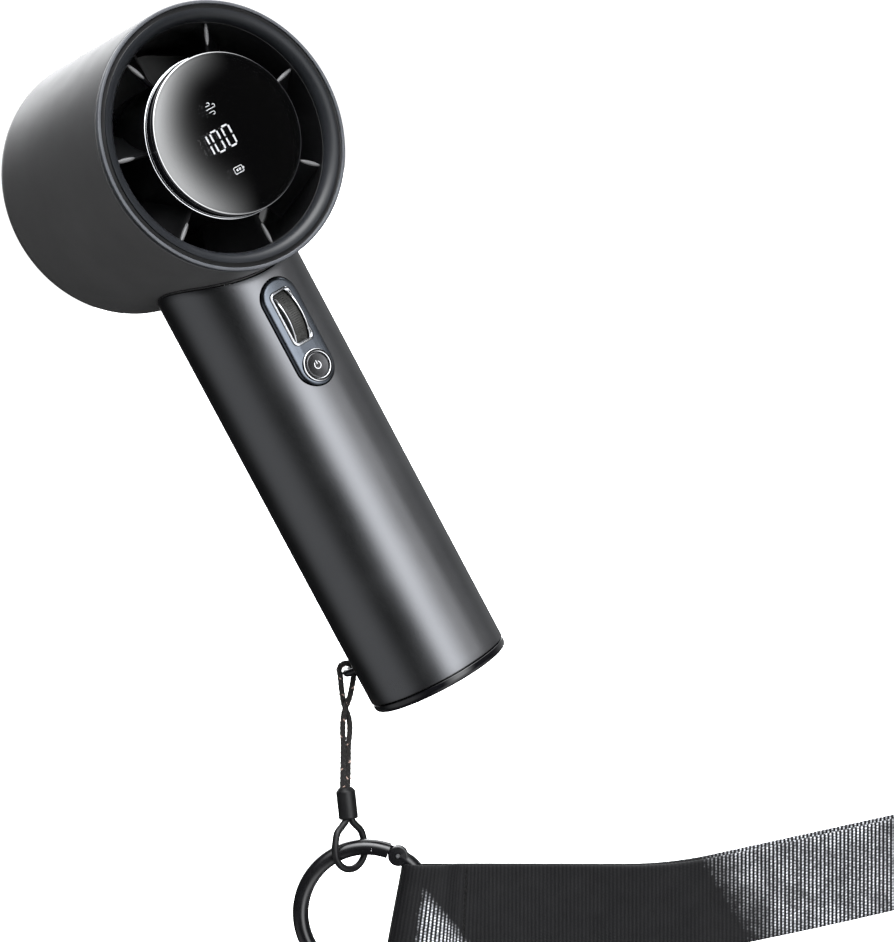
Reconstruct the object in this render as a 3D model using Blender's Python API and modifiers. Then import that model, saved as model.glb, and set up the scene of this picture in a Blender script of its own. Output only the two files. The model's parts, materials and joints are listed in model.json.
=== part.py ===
"""Handheld electric fan: ducted head, round handle, thumb wheel, power button and wrist strap.

Run with blender --background --python part.py, or from Blender's text editor.
Frame: the origin is the centre of the flat base, +Z runs up the handle, and air leaves towards -Y.
Lengths are named in millimetres, and the shape helpers turn them into Blender's metres.
"""

import math

import bmesh
import bpy
from mathutils import Matrix, Vector

MM = 0.001
FULL_TURN = 2 * math.pi
GAP = 0.3
MERGE = 0.00001

# Head: a duct that lies along Y, with its middle on the handle's axis.
HEAD_Z = 154.0
HEAD_R = 35.0
HEAD_HALF = 33.0
BARREL_WALL = 1.6
BARREL_REAR_ROUND = 8.0
BEZEL_FLANGE = 1.4
BEZEL_SKIRT = 4.6
LIP_ROUND = 2.9
GROOVE_OUTER_R = 34.1
GROOVE_DEPTH = 0.7
DUCT_R = 29.8
DUCT_WALL = 1.4
HUB_R = 19.3
HUB_WALL = 1.3
WEB_REAR = 20.0
WEB_FRONT = 22.0
HEAD_STEPS = 36
MOTOR_STEPS = 28
PIN_STEPS = 16
SADDLE_STEPS = 72

# Guide vanes and impeller, with heights counted forwards from the head's middle.
VANES = 7
VANE_FRONT = 29.0
VANE_REAR = 14.0
VANE_SWEEP = math.radians(22)
VANE_THICKNESS = 1.0
BLADES = 9
BLADE_TIP_GAP = 0.9
BLADE_HALF_DEPTH = 6.3
BLADE_SWEEP = math.radians(62)
IMPELLER_FRONT = 7.4
IMPELLER_NOSE = -13.0

# Motor inside the impeller's hub.
SHAFT_R = 1.5
SHAFT_LENGTH = 38.5
BEARING_R = 3.0
BEARING_LENGTH = 2.3
BEARING_TUBE_R = 4.2
BEARING_TUBE_REAR = -2.8
STATOR_R = 10.5
STATOR_YOKE_R = 6.0
STATOR_SHOE_R = 9.4
STATOR_TEETH = 6
TOOTH_HALF = 1.0
STATOR_FRONT = 9.0
STATOR_REAR = 3.0
CAN_R = 13.0
CAN_WALL = 0.8
CAN_REAR = -5.0

# Rear grille.
GRILLE_BARS = 12
GRILLE_FLANGE_R = 29.2
GRILLE_FLANGE = (-30.5, -29.3)
GRILLE_BOSS_R = 6.2

# Display puck on the hub, with heights counted forwards from the head's middle.
PUCK_R = 21.1
PUCK_BACK = 31.4
PUCK_RIM = 34.0
LENS_EDGE = 35.2
LENS_CREST = 36.5
DISC = 0.7

# Handle.
HANDLE_R = 19.5
HANDLE_WALL = 1.3
HANDLE_BOTTOM = 2.9
SADDLE_R = 35.8
SEAL_NEAR_R = 35.2
SEAL_FAR_R = 35.55
CHASSIS_R = 17.9
CHASSIS_WALL = 1.0
CHASSIS_BOTTOM = 6.0
CHASSIS_TOP = 83.0
CELL_R = 10.6
CELL_LENGTH = 70.5
CELL_BOTTOM = 11.0
PORT_Z = 16.0

# Control panel on the front of the handle.
PANEL_Z = 100.55
PANEL_WIDTH = 11.2
PANEL_LENGTH = 30.5
PANEL_FACE = 20.3
PANEL_DEPTH = 2.8
WINDOW_WIDTH = 6.7
WINDOW_LENGTH = 15.2
WHEEL_Z = 104.8
WHEEL_AXIS = 11.2
WHEEL_R = 11.0
BUTTON_Z = 90.6
BUTTON_R = 3.3
BUTTON_RING_R = 4.3

# Cables run up from the control board through the barrel into the hub, one on each side of the wheel.
CABLE_X = 6.0
CABLE_Y = -11.6
CABLE_R = 0.9
CABLE_HOLE_R = 1.8
WEB_HOLE_Z = -12.0

# Base.
CAP_R = 19.4
CAP_TOP = 2.6
PAD_R = 15.9
PAD_HEIGHT = 0.9
BASE_SCREW_R = 15.0
BASE_SCREW_ANGLE = math.radians(10)

# Lanyard: it hangs straight down while the fan is held tilted, so its frame is turned against the fan's.
ANCHOR_ANGLE = math.radians(35)
ANCHOR_Z = 12.0
ANCHOR_REACH = 23.7
ANCHOR_WIRE_R = 1.0
ANCHOR_HALF_WIDTH = 3.2
HANG_AZIMUTH = math.radians(31.0)
HANG_PITCH = math.radians(-7.0)
HANG_ROLL = math.radians(27.9)
CORD_R = 0.75
CRIMP_TOP = (-0.6, -31.0)
CRIMP_LENGTH = 8.4
CRIMP_R = 2.6
CRIMP_TILT = math.radians(6.4)
LOOP_R = 0.95
LOOP_BEND_R = 5.2
LOOP_TURN = math.radians(42)
RING_CENTRE = (5.1, -64.5)
RING_R = 17.5
RING_WIRE_R = 2.25
LOOP_ON_RING = math.radians(-14.3)
GATE_SEAM = math.radians(5)
GATE_PIVOT = math.radians(29)
SEAM_R = 2 * RING_R * math.sin((GATE_PIVOT - GATE_SEAM) / 2) - GAP / 2
EAR_R = 2.7
TONGUE = 1.2
STRAP_WIDTH = 24.5
STRAP_THICKNESS = 1.2
POCKET_HALF = 4.0
POCKET_FOLD_X = 12.4
STITCH_X = 25.6
STRAP_LOOP_HALF = 9.0
STRAP_END_X = 160.0

PALETTE = {
    "barrel": ((0.045, 0.045, 0.048), 0.55, 0.0),
    "duct": ((0.008, 0.008, 0.009), 0.5, 0.0),
    "gloss": ((0.004, 0.004, 0.005), 0.06, 0.0),
    "chrome": ((0.75, 0.76, 0.78), 0.12, 1.0),
    "gunmetal": ((0.16, 0.16, 0.17), 0.36, 1.0),
    "panel": ((0.20, 0.22, 0.26), 0.3, 1.0),
    "rubber": ((0.015, 0.015, 0.016), 0.7, 0.0),
    "steel": ((0.5, 0.5, 0.52), 0.3, 1.0),
    "copper": ((0.7, 0.3, 0.12), 0.35, 1.0),
    "board": ((0.02, 0.12, 0.05), 0.5, 0.0),
    "cell": ((0.1, 0.3, 0.5), 0.4, 0.0),
    "webbing": ((0.03, 0.03, 0.033), 0.8, 0.0),
    "black_metal": ((0.01, 0.01, 0.011), 0.3, 0.5),
}


# ---------------------------------------------------------------- shared tools


def clear_scene():
    for obj in list(bpy.data.objects):
        bpy.data.objects.remove(obj)


def new_collection(name, hidden=False):
    made = bpy.data.collections.new(name)
    bpy.context.scene.collection.children.link(made)
    made.hide_render = hidden
    return made


def look(name):
    """The material of this palette name, made the first time it is asked for."""
    if name in bpy.data.materials:
        return bpy.data.materials[name]
    colour, roughness, metallic = PALETTE[name]
    made = bpy.data.materials.new(name)
    made.use_nodes = True
    shader = made.node_tree.nodes["Principled BSDF"]
    shader.inputs["Base Color"].default_value = (*colour, 1)
    shader.inputs["Roughness"].default_value = roughness
    shader.inputs["Metallic"].default_value = metallic
    return made


def part(obj, look_name, parent=None, at=(0, 0, 0)):
    """Makes an object a sub-part: places it in millimetres and gives it its material."""
    PARTS.objects.link(obj)
    obj.data.materials.clear()
    obj.data.materials.append(look(look_name))
    obj.parent = parent
    obj.location = Vector(at) * MM
    return obj


def cutter(obj, parent=None, at=(0, 0, 0)):
    """Makes an object a hidden helper of a Boolean modifier."""
    CUTTERS.objects.link(obj)
    obj.parent = parent
    obj.location = Vector(at) * MM
    obj.hide_render = True
    obj.display_type = "WIRE"
    return obj


def empty(name, at, rotation=(0, 0, 0), parent=None):
    made = bpy.data.objects.new(name, None)
    made.empty_display_size = 0.01
    PARTS.objects.link(made)
    made.parent = parent
    made.location = Vector(at) * MM
    made.rotation_euler = rotation
    return made


def boolean(obj, operation, other):
    modifier = obj.modifiers.new(f"{operation.lower()}_{other.name}", "BOOLEAN")
    modifier.operation = operation
    modifier.object = other
    modifier.solver = "EXACT"


def cut(obj, *others):
    for other in others:
        boolean(obj, "DIFFERENCE", other)


def join(obj, *others):
    for other in others:
        boolean(obj, "UNION", other)


def bevel(obj, width, segments=2, angle=40):
    modifier = obj.modifiers.new("edge_round", "BEVEL")
    modifier.width = width * MM
    modifier.segments = segments
    modifier.limit_method = "ANGLE"
    modifier.angle_limit = math.radians(angle)


def from_bmesh(name, bm):
    data = bpy.data.meshes.new(name)
    bm.to_mesh(data)
    bm.free()
    return bpy.data.objects.new(name, data)


def box(name, width, depth, height):
    """A box centred on its origin, along local X, Y and Z."""
    bm = bmesh.new()
    size = Matrix.Diagonal((width * MM, depth * MM, height * MM, 1))
    bmesh.ops.create_cube(bm, size=1, matrix=size)
    return from_bmesh(name, bm)


def cylinder(name, radius, length, steps=PIN_STEPS):
    """A cylinder along local Z, centred on its origin."""
    bm = bmesh.new()
    r = radius * MM
    bmesh.ops.create_cone(bm, cap_ends=True, segments=steps, radius1=r, radius2=r, depth=length * MM)
    obj = from_bmesh(name, bm)
    obj.data.shade_smooth()
    obj.data.set_sharp_from_angle(angle=math.radians(35))
    return obj


def prisms(name, count, size, radius, height, first=0.0):
    """Equal boxes (radial, tangential and axial size) set evenly round local Z, as one mesh."""
    bm = bmesh.new()
    for index in range(count):
        turn = Matrix.Rotation(first + index * FULL_TURN / count, 4, "Z")
        shift = Matrix.Translation((radius * MM, 0, height * MM))
        scale = Matrix.Diagonal((size[0] * MM, size[1] * MM, size[2] * MM, 1))
        bmesh.ops.create_cube(bm, size=1, matrix=turn @ shift @ scale)
    return from_bmesh(name, bm)


def turned(name, *profiles, steps=HEAD_STEPS, closed=True):
    """Profiles of (radius, height) points turned about local Z. Each runs down its outer side."""
    bm = bmesh.new()
    for profile in profiles:
        points = [bm.verts.new((r * MM, 0, h * MM)) for r, h in profile]
        last = len(points) if closed else len(points) - 1
        for index in range(last):
            bm.edges.new((points[index], points[(index + 1) % len(points)]))
    obj = from_bmesh(name, bm)
    screw = obj.modifiers.new("turn", "SCREW")
    screw.axis = "Z"
    screw.steps = steps
    screw.render_steps = steps
    screw.use_merge_vertices = True
    screw.merge_threshold = MERGE
    return obj


def tube_section(inner, outer, bottom, top):
    """The closed profile of a plain tube."""
    return [(outer, top), (outer, bottom), (inner, bottom), (inner, top)]


def arc(centre, radius, start, end, count, radius_y=None):
    """Points on an arc or an elliptical arc, with angles in degrees from the first axis."""
    radius_y = radius if radius_y is None else radius_y
    points = []
    for index in range(count):
        angle = math.radians(start + (end - start) * index / (count - 1))
        x = centre[0] + radius * math.cos(angle)
        y = centre[1] + radius_y * math.sin(angle)
        points.append((x, y))
    return points


def stadium(width, length, count=8):
    """The outline of an upright stadium centred on the origin."""
    r = width / 2
    straight = length / 2 - r
    return arc((0, straight), r, 0, 180, count) + arc((0, -straight), r, 180, 360, count)


def rounded_rectangle(width, height, radius, count=4):
    points = []
    for index, (sx, sy) in enumerate(((1, 1), (-1, 1), (-1, -1), (1, -1))):
        centre = (sx * (width / 2 - radius), sy * (height / 2 - radius))
        points += arc(centre, radius, index * 90, index * 90 + 90, count)
    return points


def as_mesh(curve):
    """The curve's shape as a mesh object of the same name and place, with its caps welded."""
    bpy.context.scene.collection.objects.link(curve)
    graph = bpy.context.evaluated_depsgraph_get()
    data = bpy.data.meshes.new_from_object(curve.evaluated_get(graph))
    name = curve.name
    place = curve.matrix_world.copy()
    bpy.data.objects.remove(curve)
    bm = bmesh.new()
    bm.from_mesh(data)
    bmesh.ops.remove_doubles(bm, verts=bm.verts, dist=MERGE)
    bm.to_mesh(data)
    bm.free()
    obj = bpy.data.objects.new(name, data)
    obj.matrix_world = place
    return obj


def slab(name, outlines, thickness):
    """Flat outlines in local XY (an outer one, then holes) with a thickness along local Z."""
    data = bpy.data.curves.new(name, "CURVE")
    data.dimensions = "2D"
    data.fill_mode = "BOTH"
    data.extrude = thickness / 2 * MM
    for outline in outlines:
        spline = data.splines.new("POLY")
        spline.points.add(len(outline) - 1)
        for point, (x, y) in zip(spline.points, outline):
            point.co = (x * MM, y * MM, 0, 1)
        spline.use_cyclic_u = True
    return as_mesh(bpy.data.objects.new(name, data))


def wire(name, points, radius, closed=False, resolution=1):
    """A round wire along straight pieces between the points, in millimetres."""
    data = bpy.data.curves.new(name, "CURVE")
    data.dimensions = "3D"
    data.bevel_depth = radius * MM
    data.bevel_resolution = resolution
    data.use_fill_caps = not closed
    spline = data.splines.new("POLY")
    spline.points.add(len(points) - 1)
    for point, place in zip(spline.points, points):
        point.co = (*(Vector(place) * MM), 1)
    spline.use_cyclic_u = closed
    obj = as_mesh(bpy.data.objects.new(name, data))
    obj.data.shade_smooth()
    return obj


def swept_sheets(name, count, inner, outer, front, rear, sweep, thickness, first):
    """Blades round local Z as open sheets with a thickness: they turn by sweep from front to rear."""
    bm = bmesh.new()
    for index in range(count):
        grid = bmesh.ops.create_grid(bm, x_segments=1, y_segments=4, size=0.5)
        start = first + index * FULL_TURN / count
        for vert in grid["verts"]:
            radius = inner + (vert.co.x + 0.5) * (outer - inner)
            depth = 0.5 - vert.co.y
            angle = start - sweep * depth**1.4
            height = front + depth * (rear - front)
            vert.co = Vector((radius * math.cos(angle), radius * math.sin(angle), height)) * MM
    obj = from_bmesh(name, bm)
    solid = obj.modifiers.new("thickness", "SOLIDIFY")
    solid.thickness = thickness * MM
    solid.offset = 0
    return obj


# ---------------------------------------------------------------- head


def head_barrel(head):
    inner_r = HEAD_R - BARREL_WALL
    front = HEAD_HALF - BEZEL_FLANGE - GAP
    centre = (HEAD_R - BARREL_REAR_ROUND, -HEAD_HALF + BARREL_REAR_ROUND)
    outside = arc(centre, BARREL_REAR_ROUND, 0, -90, 4)
    inside = arc(centre, BARREL_REAR_ROUND - BARREL_WALL, -90, 0, 4)
    profile = [(HEAD_R - 0.2, front), (HEAD_R, front - 0.2), *outside, *inside, (inner_r, front)]
    barrel = part(turned("head_barrel", profile), "barrel", head)
    for side in (-1, 1):
        line = cylinder(f"cable_line_{side}", CABLE_HOLE_R, 24, 16)
        hole = cutter(line, at=(side * CABLE_X, CABLE_Y, 126))
        cut(barrel, hole)
    for side in (-1, 1):
        cut(barrel, screw_line(f"neck_hole_barrel_{side}", side, 1.6, 30, 37))
    return barrel


def front_bezel(head):
    face = HEAD_HALF
    flange = face - BEZEL_FLANGE
    skirt_end = flange - BEZEL_SKIRT
    skirt_r = HEAD_R - BARREL_WALL - GAP
    lip_end = face - LIP_ROUND + 0.2
    lip = arc((DUCT_R + LIP_ROUND + 0.1, face - LIP_ROUND), LIP_ROUND, 176, 90, 4)
    profile = [
        (HEAD_R - 0.2, face),
        (HEAD_R, face - 0.2),
        (HEAD_R, flange),
        (skirt_r, flange),
        (skirt_r, skirt_end),
        (DUCT_R + DUCT_WALL + GAP, skirt_end),
        (DUCT_R + DUCT_WALL + GAP, lip_end),
        *lip,
        (DUCT_R + LIP_ROUND + 0.1, face - GROOVE_DEPTH),
        (GROOVE_OUTER_R, face - GROOVE_DEPTH),
        (GROOVE_OUTER_R, face),
    ]
    return part(turned("front_bezel", profile), "barrel", head)


def hub_profile():
    """The fixed hub: a puck seat in front, a web, and the tube that holds the bearings and the stator."""
    front = PUCK_BACK - 1.2
    rear = IMPELLER_FRONT + 0.6
    inner = HUB_R - HUB_WALL
    bore = BEARING_R + GAP / 2
    return [
        (HUB_R, front),
        (HUB_R, rear),
        (inner, rear),
        (inner, WEB_REAR),
        (BEARING_TUBE_R, WEB_REAR),
        (BEARING_TUBE_R, BEARING_TUBE_REAR),
        (bore, BEARING_TUBE_REAR),
        (bore, WEB_FRONT),
        (inner, WEB_FRONT),
        (inner, front),
    ]


def guide_vane_frame(head):
    sleeve = tube_section(DUCT_R, DUCT_R + DUCT_WALL, -26, HEAD_HALF - LIP_ROUND - 0.1)
    frame = part(turned("guide_vane_frame", sleeve), "duct", head)
    first = math.radians(-90)
    overlap = 0.6
    vanes = swept_sheets(
        "vane_sheets",
        VANES,
        HUB_R - overlap,
        DUCT_R + overlap,
        VANE_FRONT,
        VANE_REAR,
        VANE_SWEEP,
        VANE_THICKNESS,
        first,
    )
    join(frame, cutter(vanes, head))
    join(frame, cutter(turned("hub_helper", hub_profile()), head))
    for side in (-1, 1):
        cut(frame, bpy.data.objects[f"cable_line_{side}"])
    cut(frame, cutter(cylinder("web_hole", CABLE_HOLE_R, 6, 16), head, (-CABLE_X, WEB_HOLE_Z, 21)))
    return frame


def rear_grille(head):
    """A rim that is trapped behind the barrel's rear edge, a ring, a boss and radial bars."""
    face = -HEAD_HALF + 0.2
    rim_r = HEAD_R - BARREL_REAR_ROUND - 0.4
    flange_rear, flange_front = GRILLE_FLANGE
    rim = [
        (GRILLE_FLANGE_R, flange_front),
        (GRILLE_FLANGE_R, flange_rear),
        (rim_r, flange_rear),
        (rim_r, face),
        (rim_r - 1.6, face),
        (rim_r - 1.6, flange_front),
    ]
    grille = part(turned("rear_grille", rim), "duct", head)
    ring = turned("grille_ring", tube_section(15.4, 16.8, face + 0.4, face + 2.0), steps=24)
    join(grille, cutter(ring, head))
    boss = cylinder("grille_boss", GRILLE_BOSS_R, 2.0, 24)
    join(grille, cutter(boss, head, (0, 0, face + 1.3)))
    inner = GRILLE_BOSS_R - 1.2
    length = rim_r - 0.6 - inner
    bars = prisms("grille_bars", GRILLE_BARS, (length, 1.1, 1.3), inner + length / 2, face + 1.25)
    join(grille, cutter(bars, head))


def display(head):
    base = tube_section(17.0, PUCK_R + 0.3, PUCK_BACK - 0.9, PUCK_BACK - GAP)
    part(turned("display_base_ring", base), "chrome", head)
    floor_top = PUCK_BACK + 0.55
    inner = PUCK_R - 1.1
    # The cup starts and ends on the axis, so it is not closed.
    cup = [
        (0, floor_top),
        (inner, floor_top),
        (inner, PUCK_RIM),
        (PUCK_R, PUCK_RIM),
        (PUCK_R, PUCK_BACK + 0.2),
        (PUCK_R - 0.2, PUCK_BACK),
        (0, PUCK_BACK),
    ]
    housing = part(turned("display_housing", cup, closed=False), "gloss", head)
    hole = cylinder("housing_hole", CABLE_HOLE_R, 3, 16)
    cut(housing, cutter(hole, head, (-CABLE_X, WEB_HOLE_Z, PUCK_BACK)))
    disc_r = inner - GAP
    part(cylinder("display_board", disc_r, DISC, 24), "board", head, (0, 0, floor_top + 0.65))
    part(cylinder("display_light_guide", disc_r, DISC, 24), "gloss", head, (0, 0, PUCK_RIM - 0.4))
    lens_back = PUCK_RIM + GAP
    dome = [(0, LENS_CREST)]
    rim = PUCK_R - 0.3
    rings = 3
    for index in range(1, rings + 1):
        r = rim * index / rings
        dome.append((r, LENS_CREST - (LENS_CREST - LENS_EDGE) * (r / rim) ** 2))
    lens = dome + [(PUCK_R, LENS_EDGE - 0.25), (PUCK_R, lens_back), (0, lens_back)]
    part(turned("display_lens", lens, closed=False), "gloss", head)


def tooth_outline():
    """One stator tooth about the X axis: yoke, neck and shoe, from one side to the other."""
    yoke_angle = math.degrees(math.asin(TOOTH_HALF / STATOR_YOKE_R))
    neck_angle = math.degrees(math.asin(TOOTH_HALF / STATOR_SHOE_R))
    shoe_angle = 22
    half = [
        (STATOR_YOKE_R, yoke_angle),
        (STATOR_SHOE_R, neck_angle),
        (STATOR_SHOE_R, shoe_angle),
        (STATOR_R, shoe_angle),
        (STATOR_R, shoe_angle / 3),
    ]
    start = (STATOR_YOKE_R, -180 / STATOR_TEETH)
    return [start] + [(r, -angle) for r, angle in half] + list(reversed(half))


def motor_stator(head):
    """The stator, windings and bearings stay with the head."""
    outline = []
    for index in range(STATOR_TEETH):
        middle = index * 360 / STATOR_TEETH
        for r, angle in tooth_outline():
            turn = math.radians(middle + angle)
            outline.append((r * math.cos(turn), r * math.sin(turn)))
    hole = arc((0, 0), BEARING_TUBE_R + GAP, 0, 340, 18)
    middle = (STATOR_FRONT + STATOR_REAR) / 2
    stack = STATOR_FRONT - STATOR_REAR
    part(slab("stator_core", [outline, hole], stack), "steel", head, (0, 0, middle))

    coil_r = (STATOR_YOKE_R + STATOR_SHOE_R) / 2 + 0.15
    crossover = tube_section(6.3, 7.6, STATOR_FRONT + 1.2, STATOR_FRONT + 2.3)
    windings = part(turned("motor_windings", crossover, steps=MOTOR_STEPS), "copper", head)
    coils = prisms("coil_blocks", STATOR_TEETH, (2.3, 4.6, stack + 3.2), coil_r, middle)
    join(windings, cutter(coils, head))
    window = (6, 2 * (TOOTH_HALF + GAP), stack + 2 * GAP)
    cut(windings, cutter(prisms("coil_windows", STATOR_TEETH, window, coil_r, middle), head))

    front = WEB_FRONT - BEARING_LENGTH - 0.5
    for name, bottom in (("front_bearing", front), ("rear_bearing", BEARING_TUBE_REAR + GAP)):
        ring = tube_section(SHAFT_R + GAP / 2, BEARING_R, bottom, bottom + BEARING_LENGTH)
        part(turned(name, ring, steps=PIN_STEPS), "steel", head)


def motor_rotor(impeller):
    """The can, magnets and shaft turn with the impeller."""
    magnet = tube_section(STATOR_R + 0.4, STATOR_R + 1.4, STATOR_REAR - 0.5, STATOR_FRONT + 0.5)
    part(turned("magnet_ring", magnet, steps=MOTOR_STEPS), "black_metal", impeller)
    front = STATOR_FRONT + 1.0
    floor = CAN_REAR + 1.2
    can = [
        (CAN_R, front),
        (CAN_R, CAN_REAR),
        (SHAFT_R + GAP / 2, CAN_REAR),
        (SHAFT_R + GAP / 2, floor),
        (CAN_R - CAN_WALL, floor),
        (CAN_R - CAN_WALL, front),
    ]
    part(turned("rotor_can", can, steps=MOTOR_STEPS), "steel", impeller)
    middle = WEB_FRONT - SHAFT_LENGTH / 2
    part(cylinder("motor_shaft", SHAFT_R, SHAFT_LENGTH), "steel", impeller, (0, 0, middle))


def impeller_wheel(impeller):
    nose = IMPELLER_NOSE
    wall = 1.4
    boss_r = 5.0
    round_r = 7.3
    outside = arc((round_r, CAN_REAR), HUB_R - round_r, 0, -90, 4, radius_y=CAN_REAR - nose)
    inner_round = HUB_R - round_r - wall
    inside = arc((round_r, CAN_REAR), inner_round, -90, 0, 4, radius_y=CAN_REAR - nose - wall)
    profile = [
        (HUB_R, IMPELLER_FRONT),
        *outside,
        (SHAFT_R + GAP / 2, nose),
        (SHAFT_R + GAP / 2, CAN_REAR - GAP),
        (boss_r, CAN_REAR - GAP),
        (boss_r, nose + wall),
        *inside,
        (HUB_R - wall, IMPELLER_FRONT),
    ]
    wheel = part(turned("impeller", profile), "duct", impeller)
    blades = swept_sheets(
        "blade_sheets",
        BLADES,
        HUB_R - 0.9,
        DUCT_R - BLADE_TIP_GAP,
        BLADE_HALF_DEPTH,
        -BLADE_HALF_DEPTH + 0.6,
        -BLADE_SWEEP,
        1.1,
        0.0,
    )
    join(wheel, cutter(blades, impeller))
    nut = part(cylinder("impeller_nut", 3.2, 2.4, 6), "steel", impeller, (0, 0, nose - GAP - 1.2))
    cut(nut, cutter(cylinder("nut_bore", SHAFT_R + GAP / 2, 4), impeller, (0, 0, nose - 1.5)))


# ---------------------------------------------------------------- neck


def screw_line(name, side, radius, near, far):
    """A cutter cylinder on a neck screw's axis, between two distances from the head's axis."""
    obj = cutter(cylinder(name, radius, far - near, 16))
    place_on_screw_line(obj, side, (near + far) / 2)
    return obj


def place_on_screw_line(obj, side, distance):
    """The two neck screws point from the head's axis down into the handle, 16 degrees to each side."""
    tilt = math.radians(16)
    x = side * distance * math.sin(tilt)
    z = HEAD_Z - distance * math.cos(tilt)
    obj.location = Vector((x, 9.5, z)) * MM
    obj.rotation_euler = (0, -side * tilt, 0)


def neck_screws():
    for side, name in ((-1, "neck_screw_left"), (1, "neck_screw_right")):
        screw = part(cylinder(name, 1.2, 11, 16), "steel")
        place_on_screw_line(screw, side, 38.0)
        head = cutter(cylinder(f"{name}_head", 2.4, 1.3, 16))
        place_on_screw_line(head, side, 32.4)
        join(screw, head)


def neck_seal(head):
    ring = tube_section(HANDLE_R - 2.0, HANDLE_R - 0.4, 108, 132)
    seal = part(turned("neck_seal", ring), "rubber")
    saddle = tube_section(SEAL_NEAR_R, SEAL_FAR_R, -25, 25)
    boolean(seal, "INTERSECT", cutter(turned("seal_saddle", saddle, steps=SADDLE_STEPS), head))


def neck_bracket(head):
    bracket = part(cylinder("neck_bracket", CHASSIS_R, 24, HEAD_STEPS), "black_metal", at=(0, 0, 121))
    cut(bracket, cutter(box("bracket_front", 60, 40, 60), at=(0, 2.2 - 20, 121)))
    cut(bracket, cutter(cylinder("bracket_saddle", SADDLE_R + 0.1, 60, SADDLE_STEPS), head))
    cut(bracket, cutter(cylinder("bracket_cable_hole", 3.0, 60, 16), at=(0, 9.5, 121)))
    for side in (-1, 1):
        cut(bracket, screw_line(f"neck_hole_bracket_{side}", side, 1.5, 34, 44.2))


# ---------------------------------------------------------------- handle


def handle_tube(head, face, anchor):
    wall = tube_section(HANDLE_R - HANDLE_WALL, HANDLE_R, HANDLE_BOTTOM, 134)
    tube = part(turned("handle_tube", wall), "gunmetal")
    cut(tube, cutter(cylinder("handle_saddle", SADDLE_R, 80, SADDLE_STEPS), head))
    opening = stadium(PANEL_WIDTH + 2 * GAP, PANEL_LENGTH + 2 * GAP)
    cut(tube, cutter(slab("panel_opening", [opening], 20), face, (0, PANEL_Z, 15)))
    port = rounded_rectangle(9.6, 3.9, 1.9)
    cut(tube, cutter(slab("port_opening", [port], 20), face, (0, PORT_Z, -20)))
    for side in (-1, 1):
        place = (side * ANCHOR_HALF_WIDTH, 17.5, 0)
        hole = cutter(cylinder(f"anchor_hole_{side}", ANCHOR_WIRE_R + 0.2, 8, 16), anchor, place)
        hole.rotation_euler = (math.pi / 2, 0, 0)
        cut(tube, hole)


def chassis():
    """Two half shells with ribs round the battery. The rear one carries the screw bosses of the base."""
    shell = tube_section(CHASSIS_R - CHASSIS_WALL, CHASSIS_R, CHASSIS_BOTTOM, CHASSIS_TOP)
    rib_heights = (30, 66)
    cell_line = cutter(cylinder("chassis_cell_line", CELL_R + GAP, 200, MOTOR_STEPS))
    for name, side in (("chassis_front", -1), ("chassis_rear", 1)):
        half = part(turned(name, shell, steps=MOTOR_STEPS), "duct")
        for height in rib_heights:
            rib = cylinder(f"{name}_rib_{height}", CHASSIS_R - 0.4, 1.4, MOTOR_STEPS)
            join(half, cutter(rib, at=(0, 0, height)))
        cut(half, cell_line)
        cut(half, cutter(box(f"{name}_other_half", 60, 40, 200), at=(0, -side * (20 - GAP / 2), 50)))
    rear = bpy.data.objects["chassis_rear"]
    cut(rear, cutter(box("board_space", 18.2, 2.0, 200), at=(0, 13.3, 50)))
    cut(rear, bpy.data.objects["port_opening"])
    for side in (-1, 1):
        cut(rear, bpy.data.objects[f"anchor_hole_{side}"])


def battery():
    middle = CELL_BOTTOM + CELL_LENGTH / 2
    cell = part(cylinder("battery_cell", CELL_R, CELL_LENGTH, MOTOR_STEPS), "cell", at=(0, 0, middle))
    bevel(cell, 0.6, 1)
    tabs = (
        ("battery_tab_top", CELL_BOTTOM + CELL_LENGTH + 0.6),
        ("battery_tab_bottom", CELL_BOTTOM - 0.8),
    )
    for name, height in tabs:
        part(box(name, 7, 15, 0.4), "steel", at=(0, 4.5, height))


def main_board():
    part(box("main_board", 17.6, 1.0, 75), "board", at=(0, 13.3, 46.5))


def usb_c_port(face):
    depth = 5.0
    outer = rounded_rectangle(8.9, 3.2, 1.5)
    inner = rounded_rectangle(8.3, 2.6, 1.2)
    front = -(14.1 + depth / 2)
    port = part(slab("usb_c_port", [outer], depth), "steel", face, (0, PORT_Z, front))
    cavity = cutter(slab("port_cavity", [inner], depth), face, (0, PORT_Z, front - 0.8))
    cut(port, cavity)
    tongue = cutter(box("port_tongue", 6.6, 0.7, 4.4), face, (0, PORT_Z, front + 0.1))
    join(port, tongue)


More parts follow.
